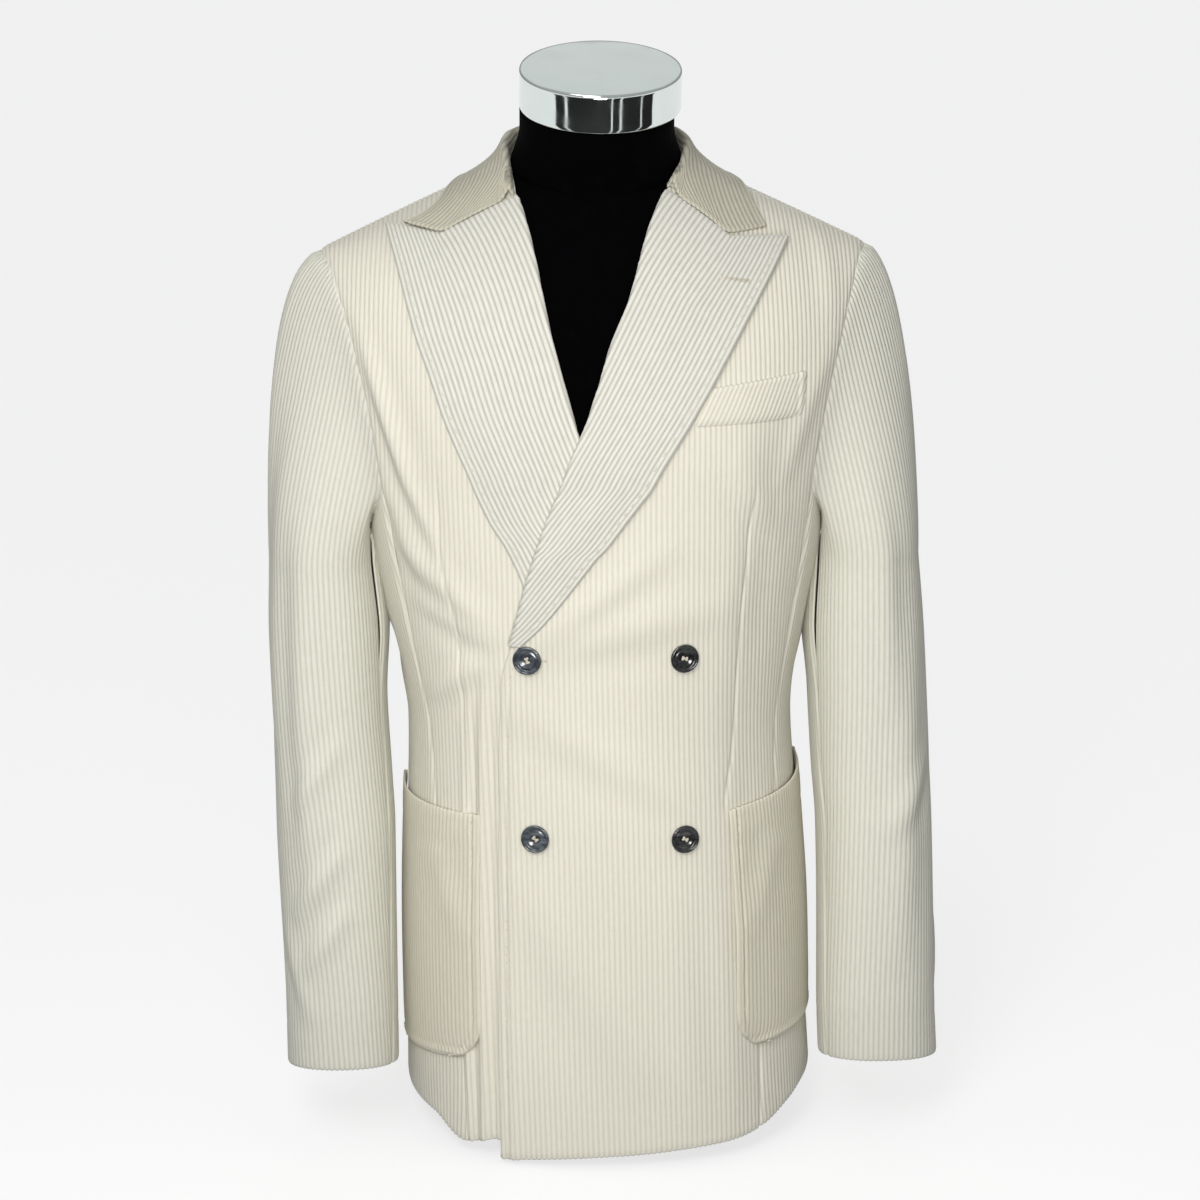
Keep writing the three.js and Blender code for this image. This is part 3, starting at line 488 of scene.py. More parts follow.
def outer_face(draft, rows, edges, relief, depth):
    bounds = np.array([draft.bounds(v) for v in rows])
    low, high = bounds[:, :1], bounds[:, 1:]
    step = WALE / WALE_COLUMNS
    lattice = np.arange(math.floor(low.min() / step), math.ceil(high.max() / step) + 1) * step
    u = np.clip(lattice[None, :], low, high)
    place, normal = draft.surface(u, rows)
    along = run_along(place[:, len(lattice) // 2])
    foot, head = along[:, None] + 0 * u, (along[-1] - along)[:, None] + 0 * u
    if rows[0] > rows[-1]:
        foot, head = head, foot
    ridge = wale_shape(u)
    height = depth * (ridge - 1) + PILE_RAISE
    for kind, distance in zip(edges, (u - low, high - u, foot, head)):
        height = height + edge_height(kind, distance)
    if relief is not None:
        height = height + relief(u, np.broadcast_to(rows[:, None], u.shape))
    near = np.minimum(np.minimum(u - low, high - u), np.minimum(foot, head))
    columns = len(lattice)
    left = (np.searchsorted(lattice, low[:, 0], side="right") - 1).clip(0, columns - 2)
    right = np.searchsorted(lattice, high[:, 0], side="left").clip(1, columns - 1)
    return {"u": u, "low": low, "high": high, "along": along, "place": place, "normal": normal,
            "ridge": ridge, "near": near, "points": place + normal * height[..., None],
            "columns": columns, "left": left, "right": right}


print("columns to a wale:", WALE_COLUMNS)

# %% [markdown]
# The rim needs the points of the cut edge in order, once round. The two side
# edges are not straight columns, since a seam cuts through the wales, so each
# row says where it starts and ends. Every wale that is cut makes a small tooth.

# %% The border and the turned edge
def border(face):
    """Point numbers round the cut edge, and how many each of its four sides has."""
    left, right, columns = face["left"], face["right"], face["columns"]
    last = len(left) - 1
    sides = [[(0, c) for c in range(left[0], right[0] + 1)],
             [(r, right[r]) for r in range(last + 1)],
             [(last, c) for c in range(right[last], left[last] - 1, -1)],
             [(r, left[r]) for r in range(last, -1, -1)]]
    return [int(r * columns + c) for side in sides for r, c in side[:-1]], [len(side) - 1 for side in sides]


def turned_edge(face, ring, outward, steps):
    """The cloth's edge rolls over and goes back under, with a tooth at each cut wale."""
    base, up = face["points"].reshape(-1, 3)[ring], face["normal"].reshape(-1, 3)[ring]
    cut_line = face["place"].reshape(-1, 3)[ring]
    tangent = unit(np.roll(cut_line, -2, axis=0) - np.roll(cut_line, 2, axis=0))
    away = unit(np.cross(tangent, up)) * (1 if outward else -1)
    tooth = face["ridge"].ravel()[ring][:, None] * TOOTH
    return [base + away * (out + tooth * (out > 0)) - up * down for out, down in steps]


print("how far an edge reaches past its cut, mm:", max(out for out, down in RIM))

# %% [markdown]
# The inner layer is never seen close up, so its grid is coarse. It only has to
# keep the cloth's thickness and to close the mesh, because a real cloth is a
# thin solid and not a skin.

# %% The inner layer
BACK_ROW = 28
BACK_COLUMN = 14
BACK_MARGIN = 3
BACK_SPREAD = 1.5
INNER_DEPTH = WALL - 0.1


def inner_layer(draft, face, rows, turn_in):
    along, widths = face["along"], (face["high"] - face["low"])
    order = np.arange(max(3, int(along[-1] / BACK_ROW)))
    reach = np.interp(np.linspace(0, len(rows) - 1, len(order)), np.arange(len(rows)), along)
    reach = np.maximum(reach, turn_in + BACK_MARGIN + BACK_SPREAD * order)
    reach = np.minimum(reach, along[-1] - turn_in - BACK_MARGIN - BACK_SPREAD * order[::-1])
    back_rows = np.interp(reach, along, rows)
    shares = np.linspace(0, 1, max(4, int(widths.max() / BACK_COLUMN)))
    gap = min(turn_in + BACK_MARGIN, 0.3 * widths.min())
    u = np.array([mix(draft.bounds(v)[0] + gap, draft.bounds(v)[1] - gap, shares) for v in back_rows])
    place, normal = draft.surface(u, back_rows)
    return place - normal * INNER_DEPTH, u


print("thickness of a cloth, mm:", INNER_DEPTH)

# %% [markdown]
# Now a piece can be made in one go: outer face, turned edge, inner layer. A
# Solidify modifier is shorter to write, but it can't turn an edge in, and it
# doubles the faces where nobody looks. The size of the flat cut is kept with the
# piece.

# %% One piece of cloth
def cloth_piece(name, draft, rows, material, edges, relief=None, depth=WALE_DEPTH, turn_in=TURN_IN):
    rows = np.asarray(rows, float)
    face = outer_face(draft, rows, edges, relief, depth)
    columns, along = face["columns"], face["along"]
    spot = np.clip(np.arange(columns)[None, :], face["left"][:, None], face["right"][:, None])
    index = np.arange(len(rows))[:, None] * columns + spot
    outward = (rows[0] < rows[-1]) == (draft.facing > 0)
    faces = cut_faces(index, outward)

    ring, lengths = border(face)
    steps = RIM + [(-turn_in, RIM[-1][1])]
    outer, rim = face["points"].reshape(-1, 3), turned_edge(face, ring, outward, steps)
    faces += rim_faces(ring, len(steps), len(outer), len(ring), outward)
    flat_u, flat_v = face["u"].ravel(), np.broadcast_to(along[:, None], face["u"].shape).ravel()
    ridge = face["ridge"].ravel()

    inside, back_u = inner_layer(draft, face, rows, turn_in)
    count, first = inside.shape[0] * inside.shape[1], len(outer) + len(steps) * len(ring)
    grid = first + np.arange(count).reshape(inside.shape[:2])
    faces += cut_faces(grid, not outward)
    faces += sewn_ring(first - len(ring), lengths, grid, outward)

    rings = len(steps)
    points = np.concatenate([outer] + rim + [inside.reshape(-1, 3)])
    wale = np.concatenate([ridge] + [ridge[ring] * 0.8] * rings + [np.full(count, 0.5)])
    edge = np.concatenate([face["near"].ravel()] + [np.zeros(len(ring))] * rings + [np.full(count, 20.0)])
    uv = np.stack([np.concatenate([flat_u] + [flat_u[ring]] * rings + [back_u.ravel()]),
                   np.concatenate([flat_v] + [flat_v[ring]] * rings + [np.zeros(count)])], axis=-1)
    piece = new_mesh(name, points, faces, material, {"wale": wale, "edge": edge}, uv)

    widths = (face["high"] - face["low"])[:, 0]
    area = float(np.sum((widths[1:] + widths[:-1]) / 2 * np.abs(np.diff(along)))) * MM * MM
    piece["cut"] = [float(widths.max()) * MM, float(along[-1]) * MM, area]
    print(f"{name}: {widths.max():.0f} x {along[-1]:.0f} mm cut, {len(faces)} faces")
    return piece


print("rings of a cloth's rim:", len(RIM) + 1)

# %% [markdown]
# Folds are placed one by one. Each is a soft ridge between two points
# of the flat cloth, steeper on one side, and it dies out at both ends. Cloth
# simulation gives folds too, but not the ones that the photo shows.

# %% Folds and darts
def ridge_line(u, v, start, end, width, height, trough=0.45):
    a, b = np.array(start, float), np.array(end, float)
    run = b - a
    t = ((u - a[0]) * run[0] + (v - a[1]) * run[1]) / (run @ run)
    off = ((u - a[0]) * run[1] - (v - a[1]) * run[0]) / np.linalg.norm(run)
    fade = np.sin(math.pi * np.clip(t, 0, 1)) ** 0.8
    return fade * height * (np.exp(-(off / width) ** 2) - trough * np.exp(-((off - 1.5 * width) / width) ** 2))


def seam_groove(u, v, path, low, high, depth=0.9, width=1.5):
    """A dart's sewn line."""
    where = path("place", v)
    inside = smooth(low - 12, low + 12, v) * (1 - smooth(high - 30, high + 10, v))
    return -inside * (depth * np.exp(-((u - where) / width) ** 2) + 0.4 * np.exp(-((u - where) / 7) ** 2))


def all_folds(u, v, rows):
    """Folds added up, each row with its start, end, width and height."""
    return sum(ridge_line(u, v, *row) for row in rows)


print("height in the middle of a 2 mm fold:", round(float(all_folds(0, 50, [((0, 0), (0, 100), 10, 2.0)])), 2))

# %% [markdown]
# Corduroy has no single colour. The pile on top of a wale is pale, the valley
# between wales gets a darker colour, which is painted shade, and the nap leans
# here and there, which clouds it.
# One shader group gives the colour, the roughness and the fine height of the
# nap, and each cloth places it with its own values.

# %% Groups and sums
def shader_group(name, inputs, outputs):
    tree = bpy.data.node_groups.new(name, "ShaderNodeTree")
    for socket, kind, value in inputs:
        made = tree.interface.new_socket(name=socket, in_out="INPUT", socket_type=kind)
        if value is not None:
            made.default_value = value
    for socket, kind in outputs:
        tree.interface.new_socket(name=socket, in_out="OUTPUT", socket_type=kind)
    return tree, tree.nodes.new("NodeGroupInput"), tree.nodes.new("NodeGroupOutput")


def math_node(tree, operation, a, b=0.0, clamp=False):
    node = tree.nodes.new("ShaderNodeMath")
    node.operation, node.use_clamp = operation, clamp
    for socket, value in zip(node.inputs, (a, b)):
        if isinstance(value, (int, float)):
            socket.default_value = value
        else:
            tree.links.new(value, socket)
    return node.outputs[0]


print("node groups so far:", len(bpy.data.node_groups))

# %% [markdown]
# Two more nodes are placed again and again: a mix of colours, and a noise that
# is stretched along the thread. A picture of cloth would be quicker, but it
# would blur close up, and a noise never does.

# %% Mixed colours and stretched noise
def mix_colours(tree, factor, a, b, blend="MIX"):
    node = tree.nodes.new("ShaderNodeMix")
    node.data_type, node.blend_type = "RGBA", blend
    for socket, value in ((node.inputs[0], factor), (node.inputs[6], a), (node.inputs[7], b)):
        if isinstance(value, (int, float, tuple)):
            socket.default_value = value
        else:
            tree.links.new(value, socket)
    return node.outputs[2]


def noise_node(tree, where, scale, stretch, detail=2.0):
    mapping = tree.nodes.new("ShaderNodeMapping")
    mapping.inputs["Scale"].default_value = stretch
    tree.links.new(where, mapping.inputs["Vector"])
    node = tree.nodes.new("ShaderNodeTexNoise")
    node.inputs["Scale"].default_value = scale
    node.inputs["Detail"].default_value = detail
    tree.links.new(mapping.outputs[0], node.inputs["Vector"])
    return node.outputs["Fac"]


print("noise detail by default:", noise_node.__defaults__[0])

# %% [markdown]
# Colours are written as a paint chart gives them, 0 to 255. The renderer adds up
# light, so it wants them linear. This turns the one into the other.

# %% Colours from a paint chart
def linear(red, green, blue):
    def one(c):
        c /= 255
        return c / 12.92 if c <= 0.04045 else ((c + 0.055) / 1.055) ** 2.4
    return (one(red), one(green), one(blue), 1.0)


print("middle grey as light:", round(linear(128, 128, 128)[0], 3))

# %% [markdown]
# The nap group reads how high a point lies on its wale. The top takes the pile's
# colour and the valley a darker one, painted shade, with streaks of fibre between.
# Large soft clouds lean the nap one way or the other, and a painted highlight in
# the pile's colour lies along each cut edge.

# %% The nap of the corduroy
nap, given, result = shader_group("Corduroy nap", [
    ("Pile", "NodeSocketColor", linear(228, 224, 206)),
    ("Ground", "NodeSocketColor", linear(190, 184, 162)),
    ("Clouding", "NodeSocketFloat", 0.08),
    ("EdgeHighlight", "NodeSocketFloat", 0.35),
], [("Colour", "NodeSocketColor"), ("Roughness", "NodeSocketFloat"), ("Height", "NodeSocketFloat")])
cut = nap.nodes.new("ShaderNodeUVMap")
cut.uv_map = "Cut"
wale = nap.nodes.new("ShaderNodeAttribute")
wale.attribute_name = "wale"
edge = nap.nodes.new("ShaderNodeAttribute")
edge.attribute_name = "edge"
streaks = noise_node(nap, cut.outputs[0], 420.0, (1.0, 0.22, 1.0), 3.0)
clouds = noise_node(nap, cut.outputs[0], 11.0, (1.0, 0.45, 1.0), 3.0)
fibres = noise_node(nap, cut.outputs[0], 1500.0, (1.0, 0.6, 1.0), 2.0)
crossing = noise_node(nap, cut.outputs[0], 520.0, (0.25, 1.0, 1.0), 2.0)
# wale tops take the pile colour, the valleys the darker one: painted shade
top = math_node(nap, "POWER", wale.outputs["Fac"], 1.6, True)
top = math_node(nap, "ADD", top, math_node(nap, "MULTIPLY", math_node(nap, "SUBTRACT", streaks, 0.5), 0.55), True)
colour = mix_colours(nap, top, given.outputs["Ground"], given.outputs["Pile"])
leaning = math_node(nap, "SUBTRACT", clouds, 0.5)
leaning = math_node(nap, "ADD", leaning, math_node(nap, "MULTIPLY", math_node(nap, "SUBTRACT", crossing, 0.5), 0.5))
shade = math_node(nap, "ADD", math_node(nap, "MULTIPLY", leaning, given.outputs["Clouding"]), 1.0)
whole = nap.nodes.new("ShaderNodeCombineColor")
for socket in whole.inputs:
    nap.links.new(shade, socket)
colour = mix_colours(nap, 1.0, colour, whole.outputs[0], "MULTIPLY")
# painted highlight: within 2.2 mm of a cut edge the colour turns towards the pile's
near_edge = math_node(nap, "SUBTRACT", 1.0, math_node(nap, "DIVIDE", edge.outputs["Fac"], 2.2), True)
edge_highlight = math_node(nap, "MULTIPLY", near_edge, given.outputs["EdgeHighlight"])
colour = mix_colours(nap, edge_highlight, colour, given.outputs["Pile"])
nap.links.new(colour, result.inputs["Colour"])
nap.links.new(math_node(nap, "ADD", 0.78, math_node(nap, "MULTIPLY", streaks, 0.25), True), result.inputs["Roughness"])
height = math_node(nap, "ADD", math_node(nap, "MULTIPLY", fibres, 0.6), math_node(nap, "MULTIPLY", streaks, 0.4))
nap.links.new(height, result.inputs["Height"])
print("nap group:", len(nap.nodes), "nodes")

# %% [markdown]
# Each cloth of the jacket is the same corduroy, cut with its grain another way
# or lying another way to the light. A little sheen, the soft glow of pile seen
# edge on, is a constant on the shader's own socket.

# %% A shader for one corduroy
NAP_DEPTH = 0.00035


def shader(name):
    made = bpy.data.materials.new(name)
    made.use_nodes = True
    return made, made.node_tree, made.node_tree.nodes["Principled BSDF"]


def placed_group(tree, group, **values):
    """A shader group in a material, with its own values on the named inputs."""
    node = tree.nodes.new("ShaderNodeGroup")
    node.node_tree = group
    for socket, value in values.items():
        node.inputs[socket].default_value = value
    return node


def bump_from(tree, height, depth, bsdf, strength=1.0):
    bump = tree.nodes.new("ShaderNodeBump")
    bump.inputs["Distance"].default_value, bump.inputs["Strength"].default_value = depth, strength
    tree.links.new(height, bump.inputs["Height"])
    tree.links.new(bump.outputs[0], bsdf.inputs["Normal"])


def corduroy(name, pile, groove_shade, clouding=0.09):
    made, tree, bsdf = shader(name)
    placed = placed_group(tree, nap, Pile=pile, Ground=groove_shade, Clouding=clouding)
    tree.links.new(placed.outputs["Colour"], bsdf.inputs["Base Color"])
    tree.links.new(placed.outputs["Roughness"], bsdf.inputs["Roughness"])
    bump_from(tree, placed.outputs["Height"], NAP_DEPTH, bsdf, 0.5)
    bsdf.inputs["Sheen Weight"].default_value = 0.12
    bsdf.inputs["Sheen Roughness"].default_value = 0.4
    bsdf.inputs["Specular IOR Level"].default_value = 0.12
    return made


print("depth of the nap, m:", NAP_DEPTH)

# %% [markdown]
# The pieces are one corduroy, but each gets its own colour, a lit or a shaded
# copy painted to the light that falls on it. The collar is the darkest, painted shade.

# %% The corduroys
# lit and shaded copies of one corduroy; each second colour is the painted shade in the valleys
FRONT_CORD = corduroy("front_cord", linear(226, 223, 209), linear(209, 205, 190))
PANEL_CORD = corduroy("panel_cord", linear(225, 223, 209), linear(200, 196, 180))
SLEEVE_CORD = corduroy("sleeve_cord", linear(221, 220, 208), linear(199, 197, 183))
SHADED_COLLAR_CORD = corduroy("collar_cord", linear(197, 194, 178), linear(163, 158, 140), 0.14)
LAPEL_CORD = corduroy("lapel_cord", linear(222, 221, 212), linear(182, 179, 167))
POCKET_CORD = corduroy("pocket_cord", linear(220, 216, 199), linear(199, 194, 176))
print("corduroys:", [made.name for made in bpy.data.materials if made.name.endswith("cord")])

# %% [markdown]
# The form wears a thin black jersey. Its loops are too small to see one by one,
# so a fine stretched noise gives their height, and a faint lint breaks the black.

# %% Jersey
jersey_knit, given, result = shader_group("Jersey knit", [
    ("Yarn", "NodeSocketColor", linear(1, 1, 2)), ("Lint", "NodeSocketColor", linear(5, 6, 7)),
], [("Colour", "NodeSocketColor"), ("Height", "NodeSocketFloat")])
place = jersey_knit.nodes.new("ShaderNodeTexCoord")
rows_of_loops = noise_node(jersey_knit, place.outputs["Object"], 900.0, (1.0, 1.0, 0.5), 1.0)
lint = noise_node(jersey_knit, place.outputs["Object"], 60.0, (1.0, 1.0, 1.0), 4.0)
lint = math_node(jersey_knit, "MULTIPLY", math_node(jersey_knit, "SUBTRACT", lint, 0.55, True), 2.0, True)
yarn_colour = mix_colours(jersey_knit, lint, given.outputs["Yarn"], given.outputs["Lint"])
jersey_knit.links.new(yarn_colour, result.inputs["Colour"])
jersey_knit.links.new(rows_of_loops, result.inputs["Height"])
JERSEY, tree, bsdf = shader("jersey")
knit = placed_group(tree, jersey_knit)
tree.links.new(knit.outputs["Colour"], bsdf.inputs["Base Color"])
bump_from(tree, knit.outputs["Height"], 0.0003, bsdf)
bsdf.inputs["Roughness"].default_value = 0.95
bsdf.inputs["Specular IOR Level"].default_value = 0.04
print("jersey group:", len(jersey_knit.nodes), "nodes")

# %% [markdown]
# Polished metal is a mirror, and a perfect mirror looks false. The smears that a
# hand leaves change the roughness a little from place to place.

# %% Metal
CHROME, tree, bsdf = shader("chrome")
wiped, given, result = shader_group("Wiped metal", [("Polish", "NodeSocketFloat", 0.06)],
                                    [("Roughness", "NodeSocketFloat"), ("Colour", "NodeSocketColor")])
place = wiped.nodes.new("ShaderNodeTexCoord")
smears = noise_node(wiped, place.outputs["Object"], 38.0, (1.0, 1.0, 1.0), 5.0)
smears = math_node(wiped, "MULTIPLY", math_node(wiped, "SUBTRACT", smears, 0.42, True), 0.35, True)
wiped.links.new(math_node(wiped, "ADD", smears, given.outputs["Polish"], True), result.inputs["Roughness"])
wiped.links.new(mix_colours(wiped, smears, linear(228, 236, 233), linear(190, 198, 196)), result.inputs["Colour"])
placed = placed_group(tree, wiped)
tree.links.new(placed.outputs["Roughness"], bsdf.inputs["Roughness"])
tree.links.new(placed.outputs["Colour"], bsdf.inputs["Base Color"])
bsdf.inputs["Metallic"].default_value = 1.0
print("metal group:", len(wiped.nodes), "nodes")

# %% [markdown]
# Horn has streaks of pale and dark along its growth, under a polished face. The
# streaks are a stretched noise, and the polish is a clear coat over them.

# %% Horn
horn_grain, given, result = shader_group("Horn grain", [
    ("Dark", "NodeSocketColor", linear(38, 39, 41)), ("Pale", "NodeSocketColor", linear(120, 124, 126)),
], [("Colour", "NodeSocketColor"), ("Roughness", "NodeSocketFloat")])
place = horn_grain.nodes.new("ShaderNodeTexCoord")
marbling = noise_node(horn_grain, place.outputs["Object"], 130.0, (1.0, 1.0, 2.2), 4.0)
marbling = math_node(horn_grain, "MULTIPLY", math_node(horn_grain, "SUBTRACT", marbling, 0.42, True), 3.2, True)
horn_colour = mix_colours(horn_grain, marbling, given.outputs["Dark"], given.outputs["Pale"])
horn_roughness = math_node(horn_grain, "ADD", 0.18, math_node(horn_grain, "MULTIPLY", marbling, 0.1))
horn_grain.links.new(horn_colour, result.inputs["Colour"])
horn_grain.links.new(horn_roughness, result.inputs["Roughness"])


def horn(name, dark, pale):
    made, tree, bsdf = shader(name)
    grain = placed_group(tree, horn_grain, Dark=dark, Pale=pale)
    tree.links.new(grain.outputs["Colour"], bsdf.inputs["Base Color"])
    tree.links.new(grain.outputs["Roughness"], bsdf.inputs["Roughness"])
    bsdf.inputs["Coat Weight"].default_value = 0.6
    bsdf.inputs["Coat Roughness"].default_value = 0.08
    return made


# two copies of one horn: the darker one is painted shade for the buttons turned from the light
SMOKY_HORN = horn("horn", linear(50, 56, 62), linear(98, 106, 113))
SHADED_HORN = horn("horn_shaded", linear(20, 21, 21), linear(52, 54, 54))
print("horn group:", len(horn_grain.nodes), "nodes")

# %% [markdown]
# The thread is a twist of plies, paler where a ply stands up. It shows only as
# short stitches, so a fine noise is enough for its colour and its height.

# %% Thread
thread_twist, given, result = shader_group("Thread twist", [("Yarn", "NodeSocketColor", linear(226, 221, 203))],
                                           [("Colour", "NodeSocketColor"), ("Height", "NodeSocketFloat")])
place = thread_twist.nodes.new("ShaderNodeTexCoord")
ply = noise_node(thread_twist, place.outputs["Object"], 1400.0, (1.0, 1.0, 1.0), 1.0)
thread_colour = mix_colours(thread_twist, ply, linear(196, 190, 170), given.outputs["Yarn"])
thread_twist.links.new(thread_colour, result.inputs["Colour"])
thread_twist.links.new(ply, result.inputs["Height"])
THREAD, tree, bsdf = shader("thread")
twist = placed_group(tree, thread_twist)
tree.links.new(twist.outputs["Colour"], bsdf.inputs["Base Color"])
bump_from(tree, twist.outputs["Height"], 0.0002, bsdf)
bsdf.inputs["Roughness"].default_value = 0.7
print("materials:", len(bpy.data.materials))

# %% [markdown]
# The fronts come first. A tailor cuts them with the wales parallel to the
# centre front, so the distance round the trunk from the centre is where a wale
# lies. The dart, and the folds that pull towards the fastened button, are soft
# ridges set on that cloth.

# %% Distances round the trunk
def arc_between(first, last, level):
    steps = np.linspace(first, last, 80)
    ring = trunk(steps, np.full(80, float(min(level, RIDGE - 0.2))))
    length = np.linalg.norm(np.diff(ring, axis=0), axis=1).sum()
    return length * (1 if last >= first else -1)


def round_to(angle, level):
    return arc_between(0, angle, level)


def spot(angle, level):
    """A place on the fronts: how far round from the centre, and how high."""
    return (round_to(angle, level), level)


def dart(points):
    return table("level place", [[level, round_to(angle, level)] for angle, level in points])


print("from the centre to the side seam at the waist, mm:", round(round_to(front_outer(430), 430)))

# %% [markdown]
# A line across a front runs from its free edge to its side seam, at one level.
# The darts are given as places on the photographed front, and become a distance
# from the centre. A dart is sewn shut, so it shows as a narrow sunk line.

# %% Lines across the fronts
LEVELS = np.concatenate([np.arange(0, RIDGE, ROW), [RIDGE - 0.2]])


def over_front_line(v):
    angle = np.linspace(over_edge("angle", v), front_outer(v), 140)
    return panel_point(angle, v, 1, lift_at(angle, v) + WALL)


def under_front_line(v):
    angle = np.linspace(-front_outer(v), -under_edge("angle", v), 140)
    return panel_point(angle, v, -1, WALL)


left_dart = dart([(32.8, 297), (38.4, 357), (36.9, 454), (35.4, 559)])
right_dart = dart([(-40.9, 306), (-40.9, 350), (-38, 447), (-39.2, 510), (-36.6, 566)])
print("rows of a front:", len(LEVELS))

# %% [markdown]
# Small things make cloth look sewn. Over the chest the wales open, because the
# cloth is pulled over a curve. Each pick stitch draws a dimple into the edge.

# %% Open wales and stitch dimples
def stretched(u, v, low, high, depth):
    return depth * smooth(low, high, v) * (wale_shape(u) - 1)


def pick_puckers(inward, v, inset, depth):
    pull = 0.55 + 0.45 * np.cos(v * 2 * math.pi / STITCH_STEP)
    return -depth * pull * np.exp(-((inward - inset) / 1.7) ** 2)


PANEL_EDGES = ("seam", "seam", "hem", "seam")
print("a dimple between stitches, mm:", round(float(pick_puckers(STITCH_IN, STITCH_STEP / 2, STITCH_IN, 0.55)), 2))

# %% [markdown]
# The left front's folds fan out from the fastened button, up to the chest and
# down to the hem, where the cloth hangs free. Below the button its edge is a
# little fatter, because the facing is turned in there.

# %% Folds of the left front
def over_front_folds(u, v):
    h = seam_groove(u, v, left_dart, 300, 560, 1.2) + stretched(u, v, 560, 700, 0.4)
    inward = u - u.min(axis=1, keepdims=True)
    h += pick_puckers(inward, v, STITCH_IN, 0.55) * (1 - smooth(425, 440, v))
    h += 1.7 * np.exp(-((inward - 12) / 6) ** 2) * (1 - smooth(380, 430, v))
    return h + all_folds(u, v, [
        (spot(-27, 395), spot(24, 300), 16, 1.7), (spot(-20, 430), spot(34, 470), 15, 2.0),
        (spot(-17, 436), spot(16, 520), 11, 2.0), (spot(-24, 260), spot(8, 60), 22, 1.8),
        (spot(14, 250), spot(22, 12), 18, 1.8), (spot(28, 230), spot(34, 20), 14, 1.4),
        (spot(26, 575), spot(52, 525), 13, 2.0), (spot(30, 560), spot(50, 505), 12, 1.7),
        (spot(44, 545), spot(57, 660), 10, 2.0), (spot(46, 770), spot(56, 650), 10, 1.5),
    ])


print("a fold from the button to the chest, mm:", [round(x) for x in spot(-17, 436) + spot(16, 520)])

# %% [markdown]
# The right front is pulled across to the far button column, so its folds are
# sharper. Two of them hang straight down beside the overlap, where the cloth
# is slack under the other front.

# %% Folds of the right front
def under_front_folds(u, v):
    h = seam_groove(u, v, right_dart, 300, 566, 1.2) + stretched(u, v, 560, 700, 0.5)
    beside = u - np.array([[round_to(over_edge("angle", level), level)] for level in v[:, 0]])
    drape = 1 - smooth(330, 440, v)
    h += drape * (2.9 * np.exp(-((beside + 15) / 3.8) ** 2) - 1.4 * np.exp(-((beside + 6) / 2.8) ** 2))
    h += drape * (2.0 * np.exp(-((beside + 31) / 4.4) ** 2) - 1.3 * np.exp(-((beside + 23) / 3.2) ** 2))
    return h + all_folds(u, v, [
        (spot(-60, 520), spot(-22, 440), 12, 4.1), (spot(-56, 470), spot(-24, 432), 9, 3.2),
        (spot(-58, 380), spot(-28, 425), 10, 2.7), (spot(-58, 700), spot(-44, 520), 7, 2.3),
        (spot(-55, 640), spot(-36, 480), 7, 2.4), (spot(-64, 600), spot(-46, 470), 9, 2.2),
        (spot(-44, 545), spot(-57, 660), 10, 1.9),
    ])


print("the strongest pull ends at, mm:", [round(x) for x in spot(-22, 440)])

# %% [markdown]
# Both fronts are cut now. Their grain starts at the centre front, so the wales
# of one line up with the wales of the other where they overlap.

# %% Cut the two fronts
over_front = Draft(over_front_line, lambda v, w: round_to(over_edge("angle", v), v))
under_front = Draft(under_front_line, lambda v, w: round_to(-front_outer(v), v))
cloth_piece("front_left_cloth", over_front, LEVELS, FRONT_CORD,
            ("free", "seam", "hem", "seam"), over_front_folds, FLAT_DEPTH)
cloth_piece("front_right_cloth", under_front, LEVELS, FRONT_CORD,
            ("seam", "free", "hem", "seam"), under_front_folds, FLAT_DEPTH)

# %% [markdown]
# Two back panels meet at the centre seam. Nothing pulls on a back, so it has
# only a few long folds: two across the waist, and soft ones that fall from the
# shoulder blades. The two are mirrored, and so are their folds.

# %% The backs
def back_line(side):
    def line(v):
        inner, outer = float(back_neck("angle", v)) - 0.06, back_outer(v)
        angle = np.linspace(outer, inner, 120) if side > 0 else np.linspace(-inner, -outer, 120)
        return panel_point(angle, v, side, WALL)
    return line


def back_start(side):
    if side > 0:
        return lambda v, w: -arc_between(back_outer(v), 180, v)
    return lambda v, w: arc_between(-180, -float(back_neck("angle", v)), v)


def back_folds(side):
    def folds(u, v):
        s = -side * u
        return stretched(u, v, 580, 720, 0.4) + all_folds(s, v, [
            ((12, 470), (95, 520), 16, 2.2), ((8, 395), (80, 430), 14, 1.9), ((70, 560), (98, 690), 10, 2.2),
            ((30, 620), (80, 760), 16, 1.6), ((26, 330), (40, 60), 20, 2.0), ((64, 300), (74, 40), 15, 1.6),
        ])
    return folds


for side, where in ((1, "left"), (-1, "right")):
    cloth_piece(f"back_{where}_cloth", Draft(back_line(side), back_start(side)), LEVELS, PANEL_CORD,
                PANEL_EDGES, back_folds(side))

# %% [markdown]
# A side panel under each arm joins back to front. It ends in the hollow of the
# armhole, so its upper rows sag to follow it. Cutting it off flat would be
# simpler, but would leave a hole under the arm.

# %% The side panels
HOLLOW_FROM = 440
hollow = table("share level", [
    [0, ARMHOLE_FOOT], [0.15, 527], [0.35, 510], [0.5, 506], [0.65, 509], [0.85, 526], [1, ARMHOLE_FOOT],
])


def side_angle(share, level):
    return mix(float(front_seam("angle", level)), float(back_seam("angle", level)), share)


def side_level(share, level):
    climb = (level - HOLLOW_FROM) / (ARMHOLE_FOOT - HOLLOW_FROM)
    return level + 0 * share if climb <= 0 else mix(HOLLOW_FROM, hollow("level", share), climb)


def side_line(side):
    def line(v):
        share = np.linspace(0.002, 0.998, 90)
        if side < 0:
            share = share[::-1]
        return panel_point(side * side_angle(share, v), side_level(share, v), side, WALL)
    return line


